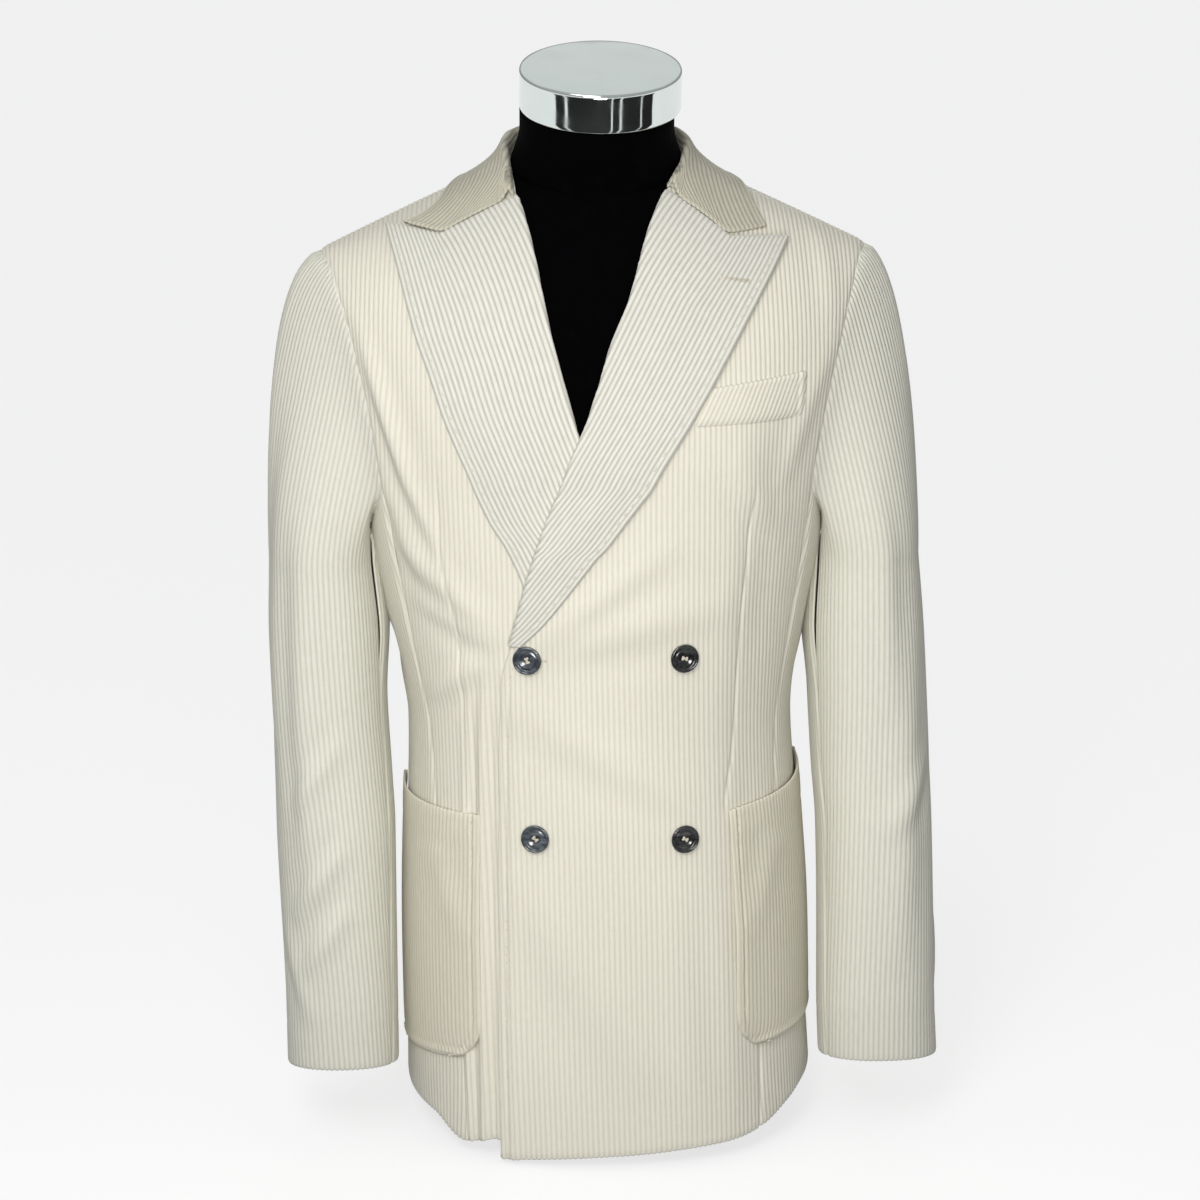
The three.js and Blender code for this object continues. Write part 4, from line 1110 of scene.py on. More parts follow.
def side_folds(u, v):
    h = all_folds(u, v, [((-40, 400), (36, 450), 12, 1.6), ((30, 360), (-30, 410), 12, 1.4)])
    return h + 1.4 * smooth(400, 440, v) * (1 - smooth(500, 545, v))


SIDE_LEVELS = np.concatenate([np.arange(0, ARMHOLE_FOOT, ROW), [ARMHOLE_FOOT]])
for side, where in ((1, "left"), (-1, "right")):
    cloth_piece(f"side_{where}_cloth", Draft(side_line(side), lambda v, w: -w / 2), SIDE_LEVELS, PANEL_CORD,
                PANEL_EDGES, side_folds)

# %% [markdown]
# A jacket sleeve has two pieces, a wide top sleeve and a narrow under sleeve.
# It starts on the armhole, bulges over the shoulder, and then hangs as a tube
# that bends forward a little. It rests against the jacket's side where the
# pocket bulges, so it's pushed clear of the trunk there.

# %% Sizes of the sleeves
SLEEVE_CLEAR = 1.2
POCKET_CLEAR = 4.4
SLEEVE_ROUND = 2.2
SLEEVE_TILT = 0.18
CLEAR_BY = 0.06
CAP_FULL = {1: 0.44, -1: 0.62}
CROWN = SLEEVE_TOP + 255
CUFF = 60
YOKE = np.array([575, 605, 640, 675, 708, 738, 764, 785, RIDGE], float)
sleeve_size = {
    1: table("height out in front back", [
        [60, 273.5, 176, -94, -2], [110, 270.5, 174, -96, 2], [177, 268.5, 173.5, -95, 10],
        [256, 266, 172, -92, 22], [302, 264, 168.5, -89, 32], [365, 261, 165, -86, 44],
        [420, 258, 163, -82, 54], [480, 253, 166, -77, 66],
    ]),
    -1: table("height out in front back", [
        [60, 264, 173, -94, -2], [110, 264, 173, -96, 2], [177, 266, 173, -95, 10],
        [256, 268.7, 173, -92, 22], [302, 269.5, 175, -89, 32], [365, 270.5, 178, -86, 44],
        [420, 271, 178.5, -82, 54], [480, 269, 184, -77, 66],
    ]),
}
print("the left cuff is wide, mm:", round(float(sleeve_size[1]("out", CUFF) - sleeve_size[1]("in", CUFF))))

# %% [markdown]
# The armhole is a ring: up the front seam's end, over the shoulder, down the
# back and through the hollow of the side panel. A few places are enough, since
# a smooth curve is laid through them. At each one the way out of it is known.

# %% The armhole
def armhole(side, out):
    under_arm = [side_angle(s, ARMHOLE_FOOT) for s in np.linspace(0, 1, 9)]
    angle = np.concatenate([armhole_front("angle", YOKE[::-1]), under_arm, armhole_back("angle", YOKE[:-1])])
    level = np.concatenate([YOKE[::-1], hollow("level", np.linspace(0, 1, 9)), YOKE[:-1]])
    place = skin(side * angle, np.minimum(level, RIDGE - 0.2), out)
    along = unit(np.roll(place, -1, axis=0) - np.roll(place, 1, axis=0))
    facing = trunk_normal(side * angle, np.minimum(level, RIDGE - 4))
    length = np.linalg.norm(np.roll(place, -1, axis=0) - place, axis=1)
    share = np.concatenate([[0], np.cumsum(length)]) / length.sum()
    return place, unit(side * np.cross(facing, along)), share


def between_four(a, b, c, d, t):
    """The smooth curve from b to c, with a before them and d after them."""
    return 0.5 * (2 * b + (c - a) * t + (2 * a - 5 * b + 4 * c - d) * t**2 + (3 * b - a - 3 * c + d) * t**3)


def round_ring(values, share, at):
    """Values round a closed ring, on a smooth curve through its points."""
    count = len(values)
    at = np.mod(at, 1.0)
    i = np.clip(np.searchsorted(share, at, side="right") - 1, 0, count - 1)
    t = ((at - share[i]) / (share[i + 1] - share[i]))[:, None]
    return between_four(*(values[(i + k) % count] for k in (-1, 0, 1, 2)), t)


HOLES = {side: armhole(side, WALL) for side in (1, -1)}
print("places round an armhole:", len(HOLES[1][0]))

# %% [markdown]
# A sleeve may touch the jacket, but never go into it. So every place of a sleeve
# that would lie inside the trunk's oval, or inside the pocket on it, is pushed
# straight out to the side until it's clear.

# %% Clear of the trunk
def beside_trunk(p, side):
    level = np.clip(p[:, 2], 0, UNDERARM)
    pocket = smooth(40, 60, p[:, 2]) * (1 - smooth(300, 325, p[:, 2]))
    clear = WALL + SLEEVE_CLEAR + POCKET_CLEAR * pocket
    depth = np.where(p[:, 1] < 0, body("front", level), body("back", level)) + clear
    share = np.minimum(np.abs(p[:, 1]) / depth, 1)
    half = (body("half", level) + clear) * (1 - share**SQUARENESS) ** (1 / SQUARENESS)
    limit = half + side * body("shift", level)
    p = p.copy()
    p[:, 0] = side * np.maximum(side * p[:, 0], limit)
    return p


print("pushed out at the chest to, mm:", round(float(beside_trunk(np.array([[100.0, 0.0, 400.0]]), 1)[0, 0])))

# %% [markdown]
# Below the arm the sleeve is a stack of squarish rings. Above, each ring blends
# from the armhole to the topmost ring of the tube. It leaves the seam outwards
# and arrives downwards, which gives the crown its roll.

# %% Rings of the sleeve
def tube_ring(side, height, turn):
    size = sleeve_size[side]
    out, inner, front, back = (float(size(key, height)) for key in ("out", "in", "front", "back"))
    middle, half, centre, depth = (out + inner) / 2, (out - inner) / 2, (front + back) / 2, (back - front) / 2
    y = centre - depth * signed_power(np.sin(turn), 2 / SLEEVE_ROUND)
    x = side * (middle + half * signed_power(np.cos(turn), 2 / SLEEVE_ROUND))
    tilt = SLEEVE_TILT * (1 - smooth(100, 420, height))
    return beside_trunk(stack(x, y, height + tilt * (centre - y)), side)


def sleeve_ring(side, v, share):
    if v <= SLEEVE_TOP:
        return tube_ring(side, v, share * 2 * math.pi)
    place, away, along = HOLES[side]
    t = min(max((CROWN - v) / (CROWN - SLEEVE_TOP), 0), 1)
    away = round_ring(away, along, share)
    start = round_ring(place, along, share) + away * SEAM
    end = tube_ring(side, SLEEVE_TOP, np.mod(share, 1) * 2 * math.pi)
    reach = np.linalg.norm(end - start, axis=1)[:, None]
    p = start * (2 * t**3 - 3 * t**2 + 1) + away * (t**3 - 2 * t**2 + t) * reach * CAP_FULL[side]
    p = p + end * (3 * t**2 - 2 * t**3) + np.array([0, 0, -1.0]) * (t**3 - t**2) * reach * 0.9
    return mix(p, beside_trunk(p, side), smooth(0, CLEAR_BY, t))


elbow = sleeve_ring(1, 300, np.linspace(0, 1, 90))
print("round the elbow, mm:", round(float(run_along(elbow)[-1])))

# %% [markdown]
# The wales of a top sleeve run straight down from the shoulder, and the armhole
# seam cuts across them. So its crown is read in level slices. Each slice runs
# from the armhole's front edge round the outside to its back edge.

# %% One level slice
SLICE_STEPS = np.linspace(0, 1, 70) ** 1.25
SLICE_SHARES = 150
FLAT = 1e-6


def crossing_at(v, high, low, above, below):
    """The place between two others, above and below, where the level is v."""
    return mix(above, below, np.clip((high - v) / max(high - low, FLAT), 0, 1))


def level_slice(shell, heights, v):
    """Where the rings of a crown cross one level, with the two places on the seam at its ends."""
    inside = np.flatnonzero(heights[0] > v)
    if len(inside) < 3:
        inside = np.arange(np.argmax(heights[0]) - 1, np.argmax(heights[0]) + 2)
    points = []
    for c in inside:
        k = int(np.clip(np.searchsorted(-heights[:, c], -v), 1, len(SLICE_STEPS) - 1))
        points.append(crossing_at(v, heights[k - 1, c], heights[k, c], shell[k - 1, c], shell[k, c]))
    ends = []
    for c, d in ((inside[0], inside[0] - 1), (inside[-1], inside[-1] + 1)):
        on_seam = 0 <= d < SLICE_SHARES
        ends.append([crossing_at(v, heights[0, c], heights[0, d], shell[0, c], shell[0, d])] if on_seam else [])
    return np.array(ends[0] + points + ends[1])


print("rings read for a crown:", len(SLICE_STEPS))

# %% [markdown]
# The slices have to join without a jog in any wale. So the wale through the
# sleeve's middle line keeps its number at every level, and the others are
# counted from it to both sides.

# %% Level slices of the crown
def crown_slices(side, first, last):
    share = np.linspace(first, last, SLICE_SHARES)
    shell = np.array([sleeve_ring(side, CROWN - t * (CROWN - SLEEVE_TOP), share) for t in SLICE_STEPS])
    heights = np.minimum.accumulate(shell[:, :, 2], axis=0)

    def line(v):
        return sleeve_ring(side, v, share) if v <= SLEEVE_TOP else level_slice(shell, heights, v)

    top = int(np.argmax(heights[0]))
    tube_middle = tube_ring(side, SLEEVE_TOP, np.zeros(1))[0, 1]

    def grain(v):
        if v <= SLEEVE_TOP:
            return tube_ring(side, v, np.zeros(1))[0, 1]
        return mix(tube_middle, shell[0, top, 1], (v - SLEEVE_TOP) / (heights[0, top] - SLEEVE_TOP))

    def start(v, width):
        """The wale through the sleeve's middle line stays wale 0 at every level."""
        points = line(v)
        run = run_along(points)
        past = points[:, 1] - grain(v)
        cross = np.flatnonzero(past[:-1] * past[1:] <= 0)
        if not len(cross):
            return -run[np.argmin(np.abs(past))]
        k = cross[np.argmax(side * points[cross, 0])]
        return -mix(run[k], run[k + 1], past[k] / (past[k] - past[k + 1] + 1e-9))

    return line, start, float(heights[0].max())


print("the left crown's top, mm:", round(crown_slices(1, -0.3, 0.4)[2]))

# %% [markdown]
# Sleeves crease where the arm would bend. The deep ones run round the inside of
# the elbow and down to the cuff, and long ones hang from the shoulder. The two
# sleeves are not mirror images, because real ones never are.

# %% Folds of the sleeves
def sleeve_line(side, first, last):
    return lambda v: sleeve_ring(side, v, np.linspace(first, last, 110))


def left_sleeve_folds(u, v):
    return stretched(u, v, 500, 690, 0.45) + all_folds(u, v, [
        ((-14, 640), (-24, 300), 13, 3.4), ((-52, 600), (-38, 230), 14, 3.1), ((-78, 500), (-62, 190), 11, 3.4),
        ((-104, 330), (-44, 236), 9, 3.9), ((-100, 282), (-38, 176), 9, 3.6), ((-92, 214), (-46, 120), 9, 3.1),
        ((-20, 210), (8, 120), 10, 2.3), ((60, 440), (66, 130), 15, 3.4), ((88, 560), (80, 350), 12, 3.1),
        ((30, 330), (84, 250), 12, 2.9),
    ])


def right_sleeve_folds(u, v):
    return stretched(u, v, 500, 690, 0.45) + all_folds(u, v, [
        ((12, 650), (22, 330), 13, 3.4), ((46, 610), (36, 260), 14, 3.1), ((76, 520), (60, 200), 11, 3.4),
        ((98, 260), (40, 186), 9, 3.6), ((94, 205), (46, 140), 9, 3.4), ((102, 350), (52, 280), 9, 3.1),
        ((24, 190), (52, 96), 9, 2.3), ((-62, 430), (-66, 150), 15, 3.4), ((-88, 560), (-80, 350), 12, 3.1),
        ((-34, 300), (-84, 226), 12, 2.9),
    ])


def under_sleeve_swell(u, v):
    """The under sleeve fills the hollow under the arm and rests on the side."""
    return 3.4 * smooth(365, 430, v) * (1 - smooth(560, 640, v))


print("swell of an under sleeve, mm:", float(under_sleeve_swell(0, 500)))

# %% [markdown]
# The armhole's places are counted from the shoulder down its front and up its
# back. The top sleeve meets the under sleeve at place 11 in front and at place
# 19 behind. A hair's gap is left at each seam, as in the CAD model.

# %% Sew the sleeves
SLEEVE_TURN_IN = 4.0
SEAM_SHARE = 0.0012
CROWN_ROW = 4.0
FRONT_PLACE, BACK_PLACE = 11, 19
TUBE_LEVELS = np.concatenate([np.arange(SLEEVE_TOP - ROW, CUFF, -ROW), [CUFF]])
SLEEVE_LEVELS = np.concatenate([np.linspace(CROWN, SLEEVE_TOP, 52), TUBE_LEVELS])
for side, where, folds in ((1, "left", left_sleeve_folds), (-1, "right", right_sleeve_folds)):
    share = HOLES[side][2]
    first, last = share[BACK_PLACE] - 1 + SEAM_SHARE, share[FRONT_PLACE] - SEAM_SHARE
    line, start, crown = crown_slices(side, first, last)
    levels = np.concatenate([np.arange(crown - 0.8, SLEEVE_TOP, -CROWN_ROW), [SLEEVE_TOP], TUBE_LEVELS])
    cloth_piece(f"top_sleeve_{where}_cloth", Draft(line, start, -side), levels, SLEEVE_CORD,
                PANEL_EDGES, folds, WALE_DEPTH, SLEEVE_TURN_IN)
    line = sleeve_line(side, share[FRONT_PLACE] + SEAM_SHARE, share[BACK_PLACE] - SEAM_SHARE)
    cloth_piece(f"under_sleeve_{where}_cloth", Draft(line, lambda v, w: -w / 2, -side), SLEEVE_LEVELS, SLEEVE_CORD,
                PANEL_EDGES, under_sleeve_swell, WALE_DEPTH, SLEEVE_TURN_IN)

# %% [markdown]
# Each lapel is the front's own facing, folded back along the roll line. It
# turns round the front's edge and lies on the chest, and its outer edge stands
# a little off. The top edge falls along the gorge seam to the notch, and rises
# from there to the peak.

# %% Edges of the lapels
left_lapel = table("height fold edge", [
    [429, -21.6, -21.1], [456, -18, -11.6], [494, -13.6, -3.1], [536, -8.9, 3.5], [566, -5.1, 9.2],
    [595, -0.9, 16.2], [624, 1.2, 22.2], [655, 4.6, 27.5], [698, 7.6, 33.2], [731, 10.3, 36.4],
])
right_lapel = table("height fold edge", [
    [462, 14.5, 15.5], [480, 12, 16], [513, 9, 19.4], [534, 7, 23], [566, 2.5, 27], [578, 3.1, 29],
    [601, 5.1, 32.2], [625, 7.1, 34.3], [649, 8.6, 36.4], [685, 10.1, 38.4], [733, 12.2, 40],
])
LEFT_TOP = {"gorge": 731, "share": 0.47, "notch": 709.5, "tip": 729, "lift": 0}
RIGHT_TOP = {"gorge": 733, "share": 0.56, "notch": 724, "tip": 757, "lift": 4}
LAPEL_MIDDLE = WALL + LAYER + WALL / 2
EDGE_RISE = 2.2
TOP_FROM = 655
FOLD_TURN = ((2.1, 0.9), (2.5, 2.3), (1.8, 3.8))
HIDDEN_FOLD = 600
print("widest left lapel, degrees round the chest:", round(float(left_lapel("edge", 731) - left_lapel("fold", 731)), 1))

# %% [markdown]
# A line of a lapel starts inside the front's edge, turns round it in three short
# steps, and runs over the chest to the free edge. Near the top the lines tilt, so
# that the last one is the gorge seam and the peak in one.

# %% Lines across a lapel
def lapel_line(size, top, side):
    notch = top["share"]

    def line(v):
        share = np.concatenate([np.linspace(0.05, notch, 30), np.linspace(notch, 1, 30)[1:]])
        fall = mix(top["gorge"], top["notch"], share / notch)
        peak = mix(top["notch"], top["tip"], (share - notch) / (1 - notch))
        edge = np.where(share < notch, fall, peak)
        at = v + max((v - TOP_FROM) / (top["gorge"] - TOP_FROM), 0) * (edge - top["gorge"])
        fold = float(size("fold", v))
        angle = mix(fold, float(size("edge", v)), share)
        stand = lift_at(angle, at) if side > 0 else 0 * angle
        tip = top["lift"] * smooth(notch, 1, share) * smooth(690, 731, v)
        out = stand + LAPEL_MIDDLE + EDGE_RISE * share**3 * smooth(470, 560, v) + tip
        flat = skin(side * angle, at, out)
        near = skin(side * fold, v, 0)
        beyond = unit(skin(side * (fold - 1), v, 0) - near)
        lift = float(lift_at(fold, v)) if side > 0 else 0
        free = 1 if side > 0 else float(smooth(HIDDEN_FOLD - 25, HIDDEN_FOLD, v))
        turn = [skin(side * fold, v, lift + mix(LAPEL_MIDDLE, o, free)) + beyond * a for a, o in FOLD_TURN]
        return np.concatenate([np.array(turn).reshape(-1, 3), flat])
    return line


lapel_draft = {1: Draft(lapel_line(left_lapel, LEFT_TOP, 1), lambda v, w: -w),
               -1: Draft(lapel_line(right_lapel, RIGHT_TOP, -1), lambda v, w: -w, -1)}
print("width of the left lapel at the peak, mm:", round(lapel_draft[1].bounds(726)[1] - lapel_draft[1].bounds(726)[0]))

# %% [markdown]
# The wales of a lapel run along its outer edge, so they look slanted next to the
# upright ones of the front. They are a little deeper, as pressing opens the pile
# along a fold. The roll line has no stitches: cloth just turns there.

# %% Fold the lapels back
LAPEL_EDGES = ("roll", "free", "roll", "free")
LAPEL_DEPTH = 0.62
LAPEL_TURN_IN = 1.2
LAPEL_ROW = 4.0
LAPEL_RAISE = 0.9
LAPELS = {
    "left": (1, 438, 731, [((-40, 470), (-14, 640), 14, 1.0), ((-60, 600), (-40, 720), 16, 0.8)]),
    "right": (-1, 462, 733, [((-30, 500), (-22, 660), 14, 1.0), ((-66, 600), (-44, 720), 16, 0.8)]),
}
for where, (side, low, high, rows) in LAPELS.items():
    cloth_piece(f"lapel_{where}_cloth", lapel_draft[side], np.append(np.arange(low, high, LAPEL_ROW), high),
                LAPEL_CORD, LAPEL_EDGES, lambda u, v, rows=rows: LAPEL_RAISE + all_folds(u, v, rows),
                LAPEL_DEPTH, LAPEL_TURN_IN)

# %% [markdown]
# The collar stands up round the neck, turns over and falls on the shoulders.
# Its wales run round the neck. It is drafted as a row of ten points from the
# stand's foot over the fold to the outer edge, for each place round the neck.

# %% Sizes of the collar
neckline = table("turn half y centre stand edgeHalf edgeY", [
    [0, 0, 73, -7, 29, 0, 88], [0.2, 34, 66, -7, 26, 46, 82], [0.4, 60, 44, -7, 19, 86, 62],
    [0.6, 69, 8, -7, 11, 112, 14], [0.8, 66, -27, -9, 7, 121, -18], [1, 60, -52, -13.5, 3, 130, -45],
])
COLLAR_CLEAR = WALL + LAYER + WALL / 2
FALL = np.array([0.12, 0.28, 0.45, 0.62, 0.8, 1.0])
STEEPEST = 2.6
GORGE_GAP = 3.4
COLLAR_NOTCH = 0.66
COLLAR_END = {1: (LEFT_TOP, left_lapel, 30.8, 731), -1: (RIGHT_TOP, right_lapel, 35.5, 750)}
print("stand of the collar at the back, mm:", float(neckline("stand", 0)))

# %% [markdown]
# The collar lies on the shoulders without sinking in, and where they are steep it
# needs more height to stay clear. Its two ends are cut to the gorge seam of the
# lapel below, and to the point that shows beyond the notch.

# %% Where the collar lies and ends
def over_shoulders(p, clear):
    step = 3
    x, y = p[..., 0], p[..., 1]
    height = shoulders_over(x, y)
    sideways = (shoulders_over(x + step, y) - height) / step
    backward = (shoulders_over(x, y + step) - height) / step
    steep = np.minimum(np.sqrt(1 + sideways**2 + backward**2), STEEPEST)
    return stack(x, y, np.maximum(p[..., 2], height + clear * steep))


def collar_end(side, share):
    top, lapel, point_angle, point_level = COLLAR_END[side]
    fold = float(lapel("fold", top["gorge"]))
    notch = mix(fold, float(lapel("edge", top["gorge"])), top["share"])
    gorge = np.minimum(share / COLLAR_NOTCH, 1)
    beyond = np.maximum((share - COLLAR_NOTCH) / (1 - COLLAR_NOTCH), 0)
    angle = mix(mix(fold, notch, gorge), point_angle, beyond)
    level = mix(mix(top["gorge"], top["notch"], gorge), point_level, beyond)
    return skin(side * angle, level + GORGE_GAP, COLLAR_CLEAR + top["lift"] * smooth(COLLAR_NOTCH, 1, share))


print("the collar's point stands at, mm:", np.round(collar_end(1, 1.0)).tolist())

# %% [markdown]
# Each row has four places on the stand, a turn over the fold, and six on the
# fall. Near its ends the fall blends into the gorge. A smooth curve through the
# rows gives every place between, so forty rows make a collar without corners.

# %% Rows of the collar
def collar_row(side, turn):
    at = {key: float(neckline(key, turn)) for key in ("half", "y", "centre", "stand", "edgeHalf", "edgeY")}
    x, y = at["centre"] + side * at["half"], at["y"]
    foot = np.array([x, y, float(shoulders_over(np.array(x), np.array(y))) + WALL + 1.6])
    fold = foot + np.array([side * 1.5, 2 if turn < 0.3 else 0, at["stand"]])
    edge = over_shoulders(np.array([at["centre"] + side * at["edgeHalf"], at["edgeY"], 0.0]), COLLAR_CLEAR + 0.3)
    outward = unit(np.array([edge[0] - foot[0], edge[1] - foot[1], 0]))
    middle = foot + outward * 9
    middle[2] = float(shoulders_over(middle[0], middle[1])) + COLLAR_CLEAR + 3
    stand = [foot, mix(foot, fold, 0.55), fold + outward * 0.4, fold + outward * 2.6 + np.array([0, 0, 1.8])]
    s = FALL[:, None]
    fall = (fold + outward * 4.6) * (1 - s) ** 2 + middle * 2 * s * (1 - s) + edge * s**2
    fall = mix(over_shoulders(fall, COLLAR_CLEAR + 0.6), collar_end(side, FALL), float(smooth(0.84, 1, turn)))
    return np.concatenate([np.array(stand), fall])


COLLAR_HALF = 270.0
COLLAR_TURNS = np.linspace(-1, 1, 41)
collar_rows = np.array([collar_row(1 if turn >= 0 else -1, abs(turn)) for turn in COLLAR_TURNS])
print("rows and places of the collar:", collar_rows.shape[:2])


def through(points, at):
    """A smooth curve through rows of points, read at places counted in rows."""
    at = np.atleast_1d(at)
    i = np.clip(np.floor(at).astype(int), 0, len(points) - 2)
    t = (at - i).reshape(-1, *([1] * (points.ndim - 1)))
    p1, p2 = points[i], points[i + 1]
    p0, p3 = points[np.maximum(i - 1, 0)], points[np.minimum(i + 2, len(points) - 1)]
    p0 = np.where((i == 0).reshape(t.shape), 2 * p1 - p2, p0)
    p3 = np.where((i == len(points) - 2).reshape(t.shape), 2 * p2 - p1, p3)
    return between_four(p0, p1, p2, p3, t)


# %% [markdown]
# Under and top collar are one folded cloth here. Small folds across it break the
# ring of wales, because a collar that is steamed round a neck never lies quite
# even. Then it's cut like the other pieces.

# %% Cut the collar
def collar_line(v):
    row = through(collar_rows, (v / COLLAR_HALF + 1) / 2 * (len(COLLAR_TURNS) - 1))[0]
    return through(row, np.linspace(0, len(row) - 1, 150))


def collar_folds(u, v):
    h = 1.0 + 0 * u
    for turn, lean in ((-205, 20), (-120, -18), (-40, 12), (60, -14), (140, 20), (215, -16)):
        h = h + ridge_line(u, v, (-6, turn), (-64, turn + lean), 13, 0.8)
    return h


cloth_piece("collar_cloth", Draft(collar_line, lambda v, w: -w, -1),
            np.linspace(-COLLAR_HALF, COLLAR_HALF, 121), SHADED_COLLAR_CORD,
            ("roll", "free", "free", "free"), collar_folds, WALE_DEPTH, LAPEL_TURN_IN)

# %% [markdown]
# The patch pockets are sewn on over the front seam, so they wrap round the
# side. Their lower corners are round. The mouth gapes a little, and the wales
# that end there give it a toothed edge, as a real cut across corduroy has.

# %% Lines across a pocket
POCKET_HEIGHT = 200.0
POCKET_WIDTH = 155.0
POCKET_CORNER = 30.0
POCKET_GAPE = 2.2
MOUTH_HEM = 27
POCKETS = {
    "left": {"side": 1, "front": 33, "rear": 94, "foot": (92, 97), "mouth": (296, 304)},
    "right": {"side": -1, "front": 35.5, "rear": 94, "foot": (88, 68), "mouth": (293, 288)},
}


def pocket_line(pocket):
    side, front, rear = pocket["side"], pocket["front"], pocket["rear"]

    def line(v):
        up = min(max(v, 0), POCKET_CORNER)
        inset = POCKET_CORNER - math.sqrt(POCKET_CORNER**2 - (POCKET_CORNER - up) ** 2)
        turn = inset / POCKET_WIDTH * (rear - front)
        share = v / POCKET_HEIGHT
        across = np.linspace(0, 1, 90)
        if side < 0:
            across = across[::-1]
        angle = mix(front + turn, rear - turn, across)
        along = (angle - front) / (rear - front)
        level = mix(mix(*pocket["foot"], along), mix(*pocket["mouth"], along), share)
        stand = lift_at(angle, level) if side > 0 else 0 * angle
        gape = POCKET_GAPE * max(share, 0) ** 3 * np.sin(math.pi * (0.1 + 0.75 * across))
        return skin(side * angle, level, stand + WALL + LAYER + gape + WALL)
    return line


print("a pocket's mouth gapes by, mm:", POCKET_GAPE)

# %% [markdown]
# A used pocket swells at its foot, and its mouth drags a little. The line across
# below the mouth is where the turned-in edge is stitched down.

# %% Folds of a pocket
def pocket_folds(side):
    def folds(u, v):
        swell = 1.6 * smooth(0, 26, v) * np.exp(-((v - 90) / 80) ** 2)
        h = swell + ridge_line(side * u, v, (150, 175), (112, 90), 13, 1.6)
        h = h + ridge_line(side * u, v, (118, 190), (196, 120), 12, 1.4)
        h = h - 0.5 * np.exp(-((v - POCKET_HEIGHT + MOUTH_HEM) / 1.5) ** 2)
        in_from_side = np.minimum(u - u.min(axis=1, keepdims=True), u.max(axis=1, keepdims=True) - u)
        return h + pick_puckers(in_from_side, v, STITCH_IN, 0.6) + ridge_line(side * u, v, (96, 196), (104, 60), 8, 1.2)
    return folds


print("hem of the mouth, mm below it:", MOUTH_HEM)

# %% [markdown]
# The rows lie close at the foot, where the corner is round, and further apart
# above it. A pocket's wales line up with the front's, so its grain starts at the
# same centre line.

# %% Cut the patch pockets
CORNER = np.array([0, 0.3, 0.9, 2, 3.6, 5.8, 8.6, 12, 16, 20.5, 25, 30])
for where, pocket in POCKETS.items():
    side = pocket["side"]
    start_angle = pocket["front"] if side > 0 else -pocket["rear"]
    line = pocket_line(pocket)
    width = np.linalg.norm(np.diff(line(POCKET_HEIGHT / 2), axis=0), axis=1).sum()
    middle = round_to(start_angle, 200) + width / 2
    cloth_piece(f"patch_pocket_{where}_cloth", Draft(line, lambda v, w, m=middle: m - w / 2),
                np.concatenate([CORNER, np.arange(35, 201, ROW)]), POCKET_CORD,
                ("patch", "patch", "patch", "free"), pocket_folds(side), FLAT_DEPTH)

# %% [markdown]
# The breast pocket is a slit with a welt: a narrow folded strip sewn on below it,
# slanting up to the arm. Its wales match the front's, so only its edge and the
# shadow under it show where it is.

# %% The breast welt
WELT_OUT = 2.4
WELT_HEIGHT = 26.0
WELT_FOOT = ((16.5, 592), (47.6, 599))
WELT_TOP = ((20, 611), (46.1, 626.6))


def welt_line(v):
    up = v / WELT_HEIGHT
    share = np.linspace(0, 1, 70)
    angle = mix(mix(WELT_FOOT[0][0], WELT_FOOT[1][0], share), mix(WELT_TOP[0][0], WELT_TOP[1][0], share), up)
    level = mix(mix(WELT_FOOT[0][1], WELT_FOOT[1][1], share), mix(WELT_TOP[0][1], WELT_TOP[1][1], share), up)
    return skin(angle, level, lift_at(angle, level) + WALL + WELT_OUT)


cloth_piece("breast_welt_cloth", Draft(welt_line, lambda v, w: round_to(16.5, 600)),
            np.arange(0, WELT_HEIGHT + 1, 2.0), FRONT_CORD, ("seam", "patch", "seam", "free"))

# %% [markdown]
# The form is a firm torso in black jersey. Only its neck shows between the
# lapels and under the collar, and its foot from below. It's one stack of
# rings: tapered at the foot, the trunk's ovals, shoulders closing in, neck.

# %% Sizes of the dress form
CAP_BASE = np.array([-4.5, -15, 838.5])
CAP_TILT = 14
CAP_RADIUS = 63.3
CAP_HEIGHT = 32.0
NECK_RADIUS = 60.5
NECK_CENTRE = (-7, -4)
NECK_FLARE = 0.12
form_foot = table("height scale", [[0, 0.68], [14, 0.84], [36, 0.95], [62, 1]])
FORM_COLUMNS = 144
print("diameter of the cap, mm:", 2 * CAP_RADIUS)

# %% [markdown]
# Anything round can be made from rings of points: one face between each two
# neighbours on two rings, and one large face to close each end. The form, the
# cap, the buttons and the threads all use it.

# %% Faces between rings
def ring_faces(rings, columns, close_low, close_high):
    faces = []
    for r in range(rings - 1):
        for c in range(columns):
            d = (c + 1) % columns
            faces.append((r * columns + c, r * columns + d, (r + 1) * columns + d, (r + 1) * columns + c))
    if close_low:
        faces.append(tuple(range(columns))[::-1])
    if close_high:
        faces.append(tuple((rings - 1) * columns + c for c in range(columns)))
    return faces


print("faces of a closed tube of 3 rings of 8:", len(ring_faces(3, 8, True, True)))

# %% [markdown]
# The rings of the form follow the trunk, a little inside the cloth. Over the
# chest they shrink towards the neck and lie just under the shoulders. The neck
# leans forward and is cut off at the slant of the cap.

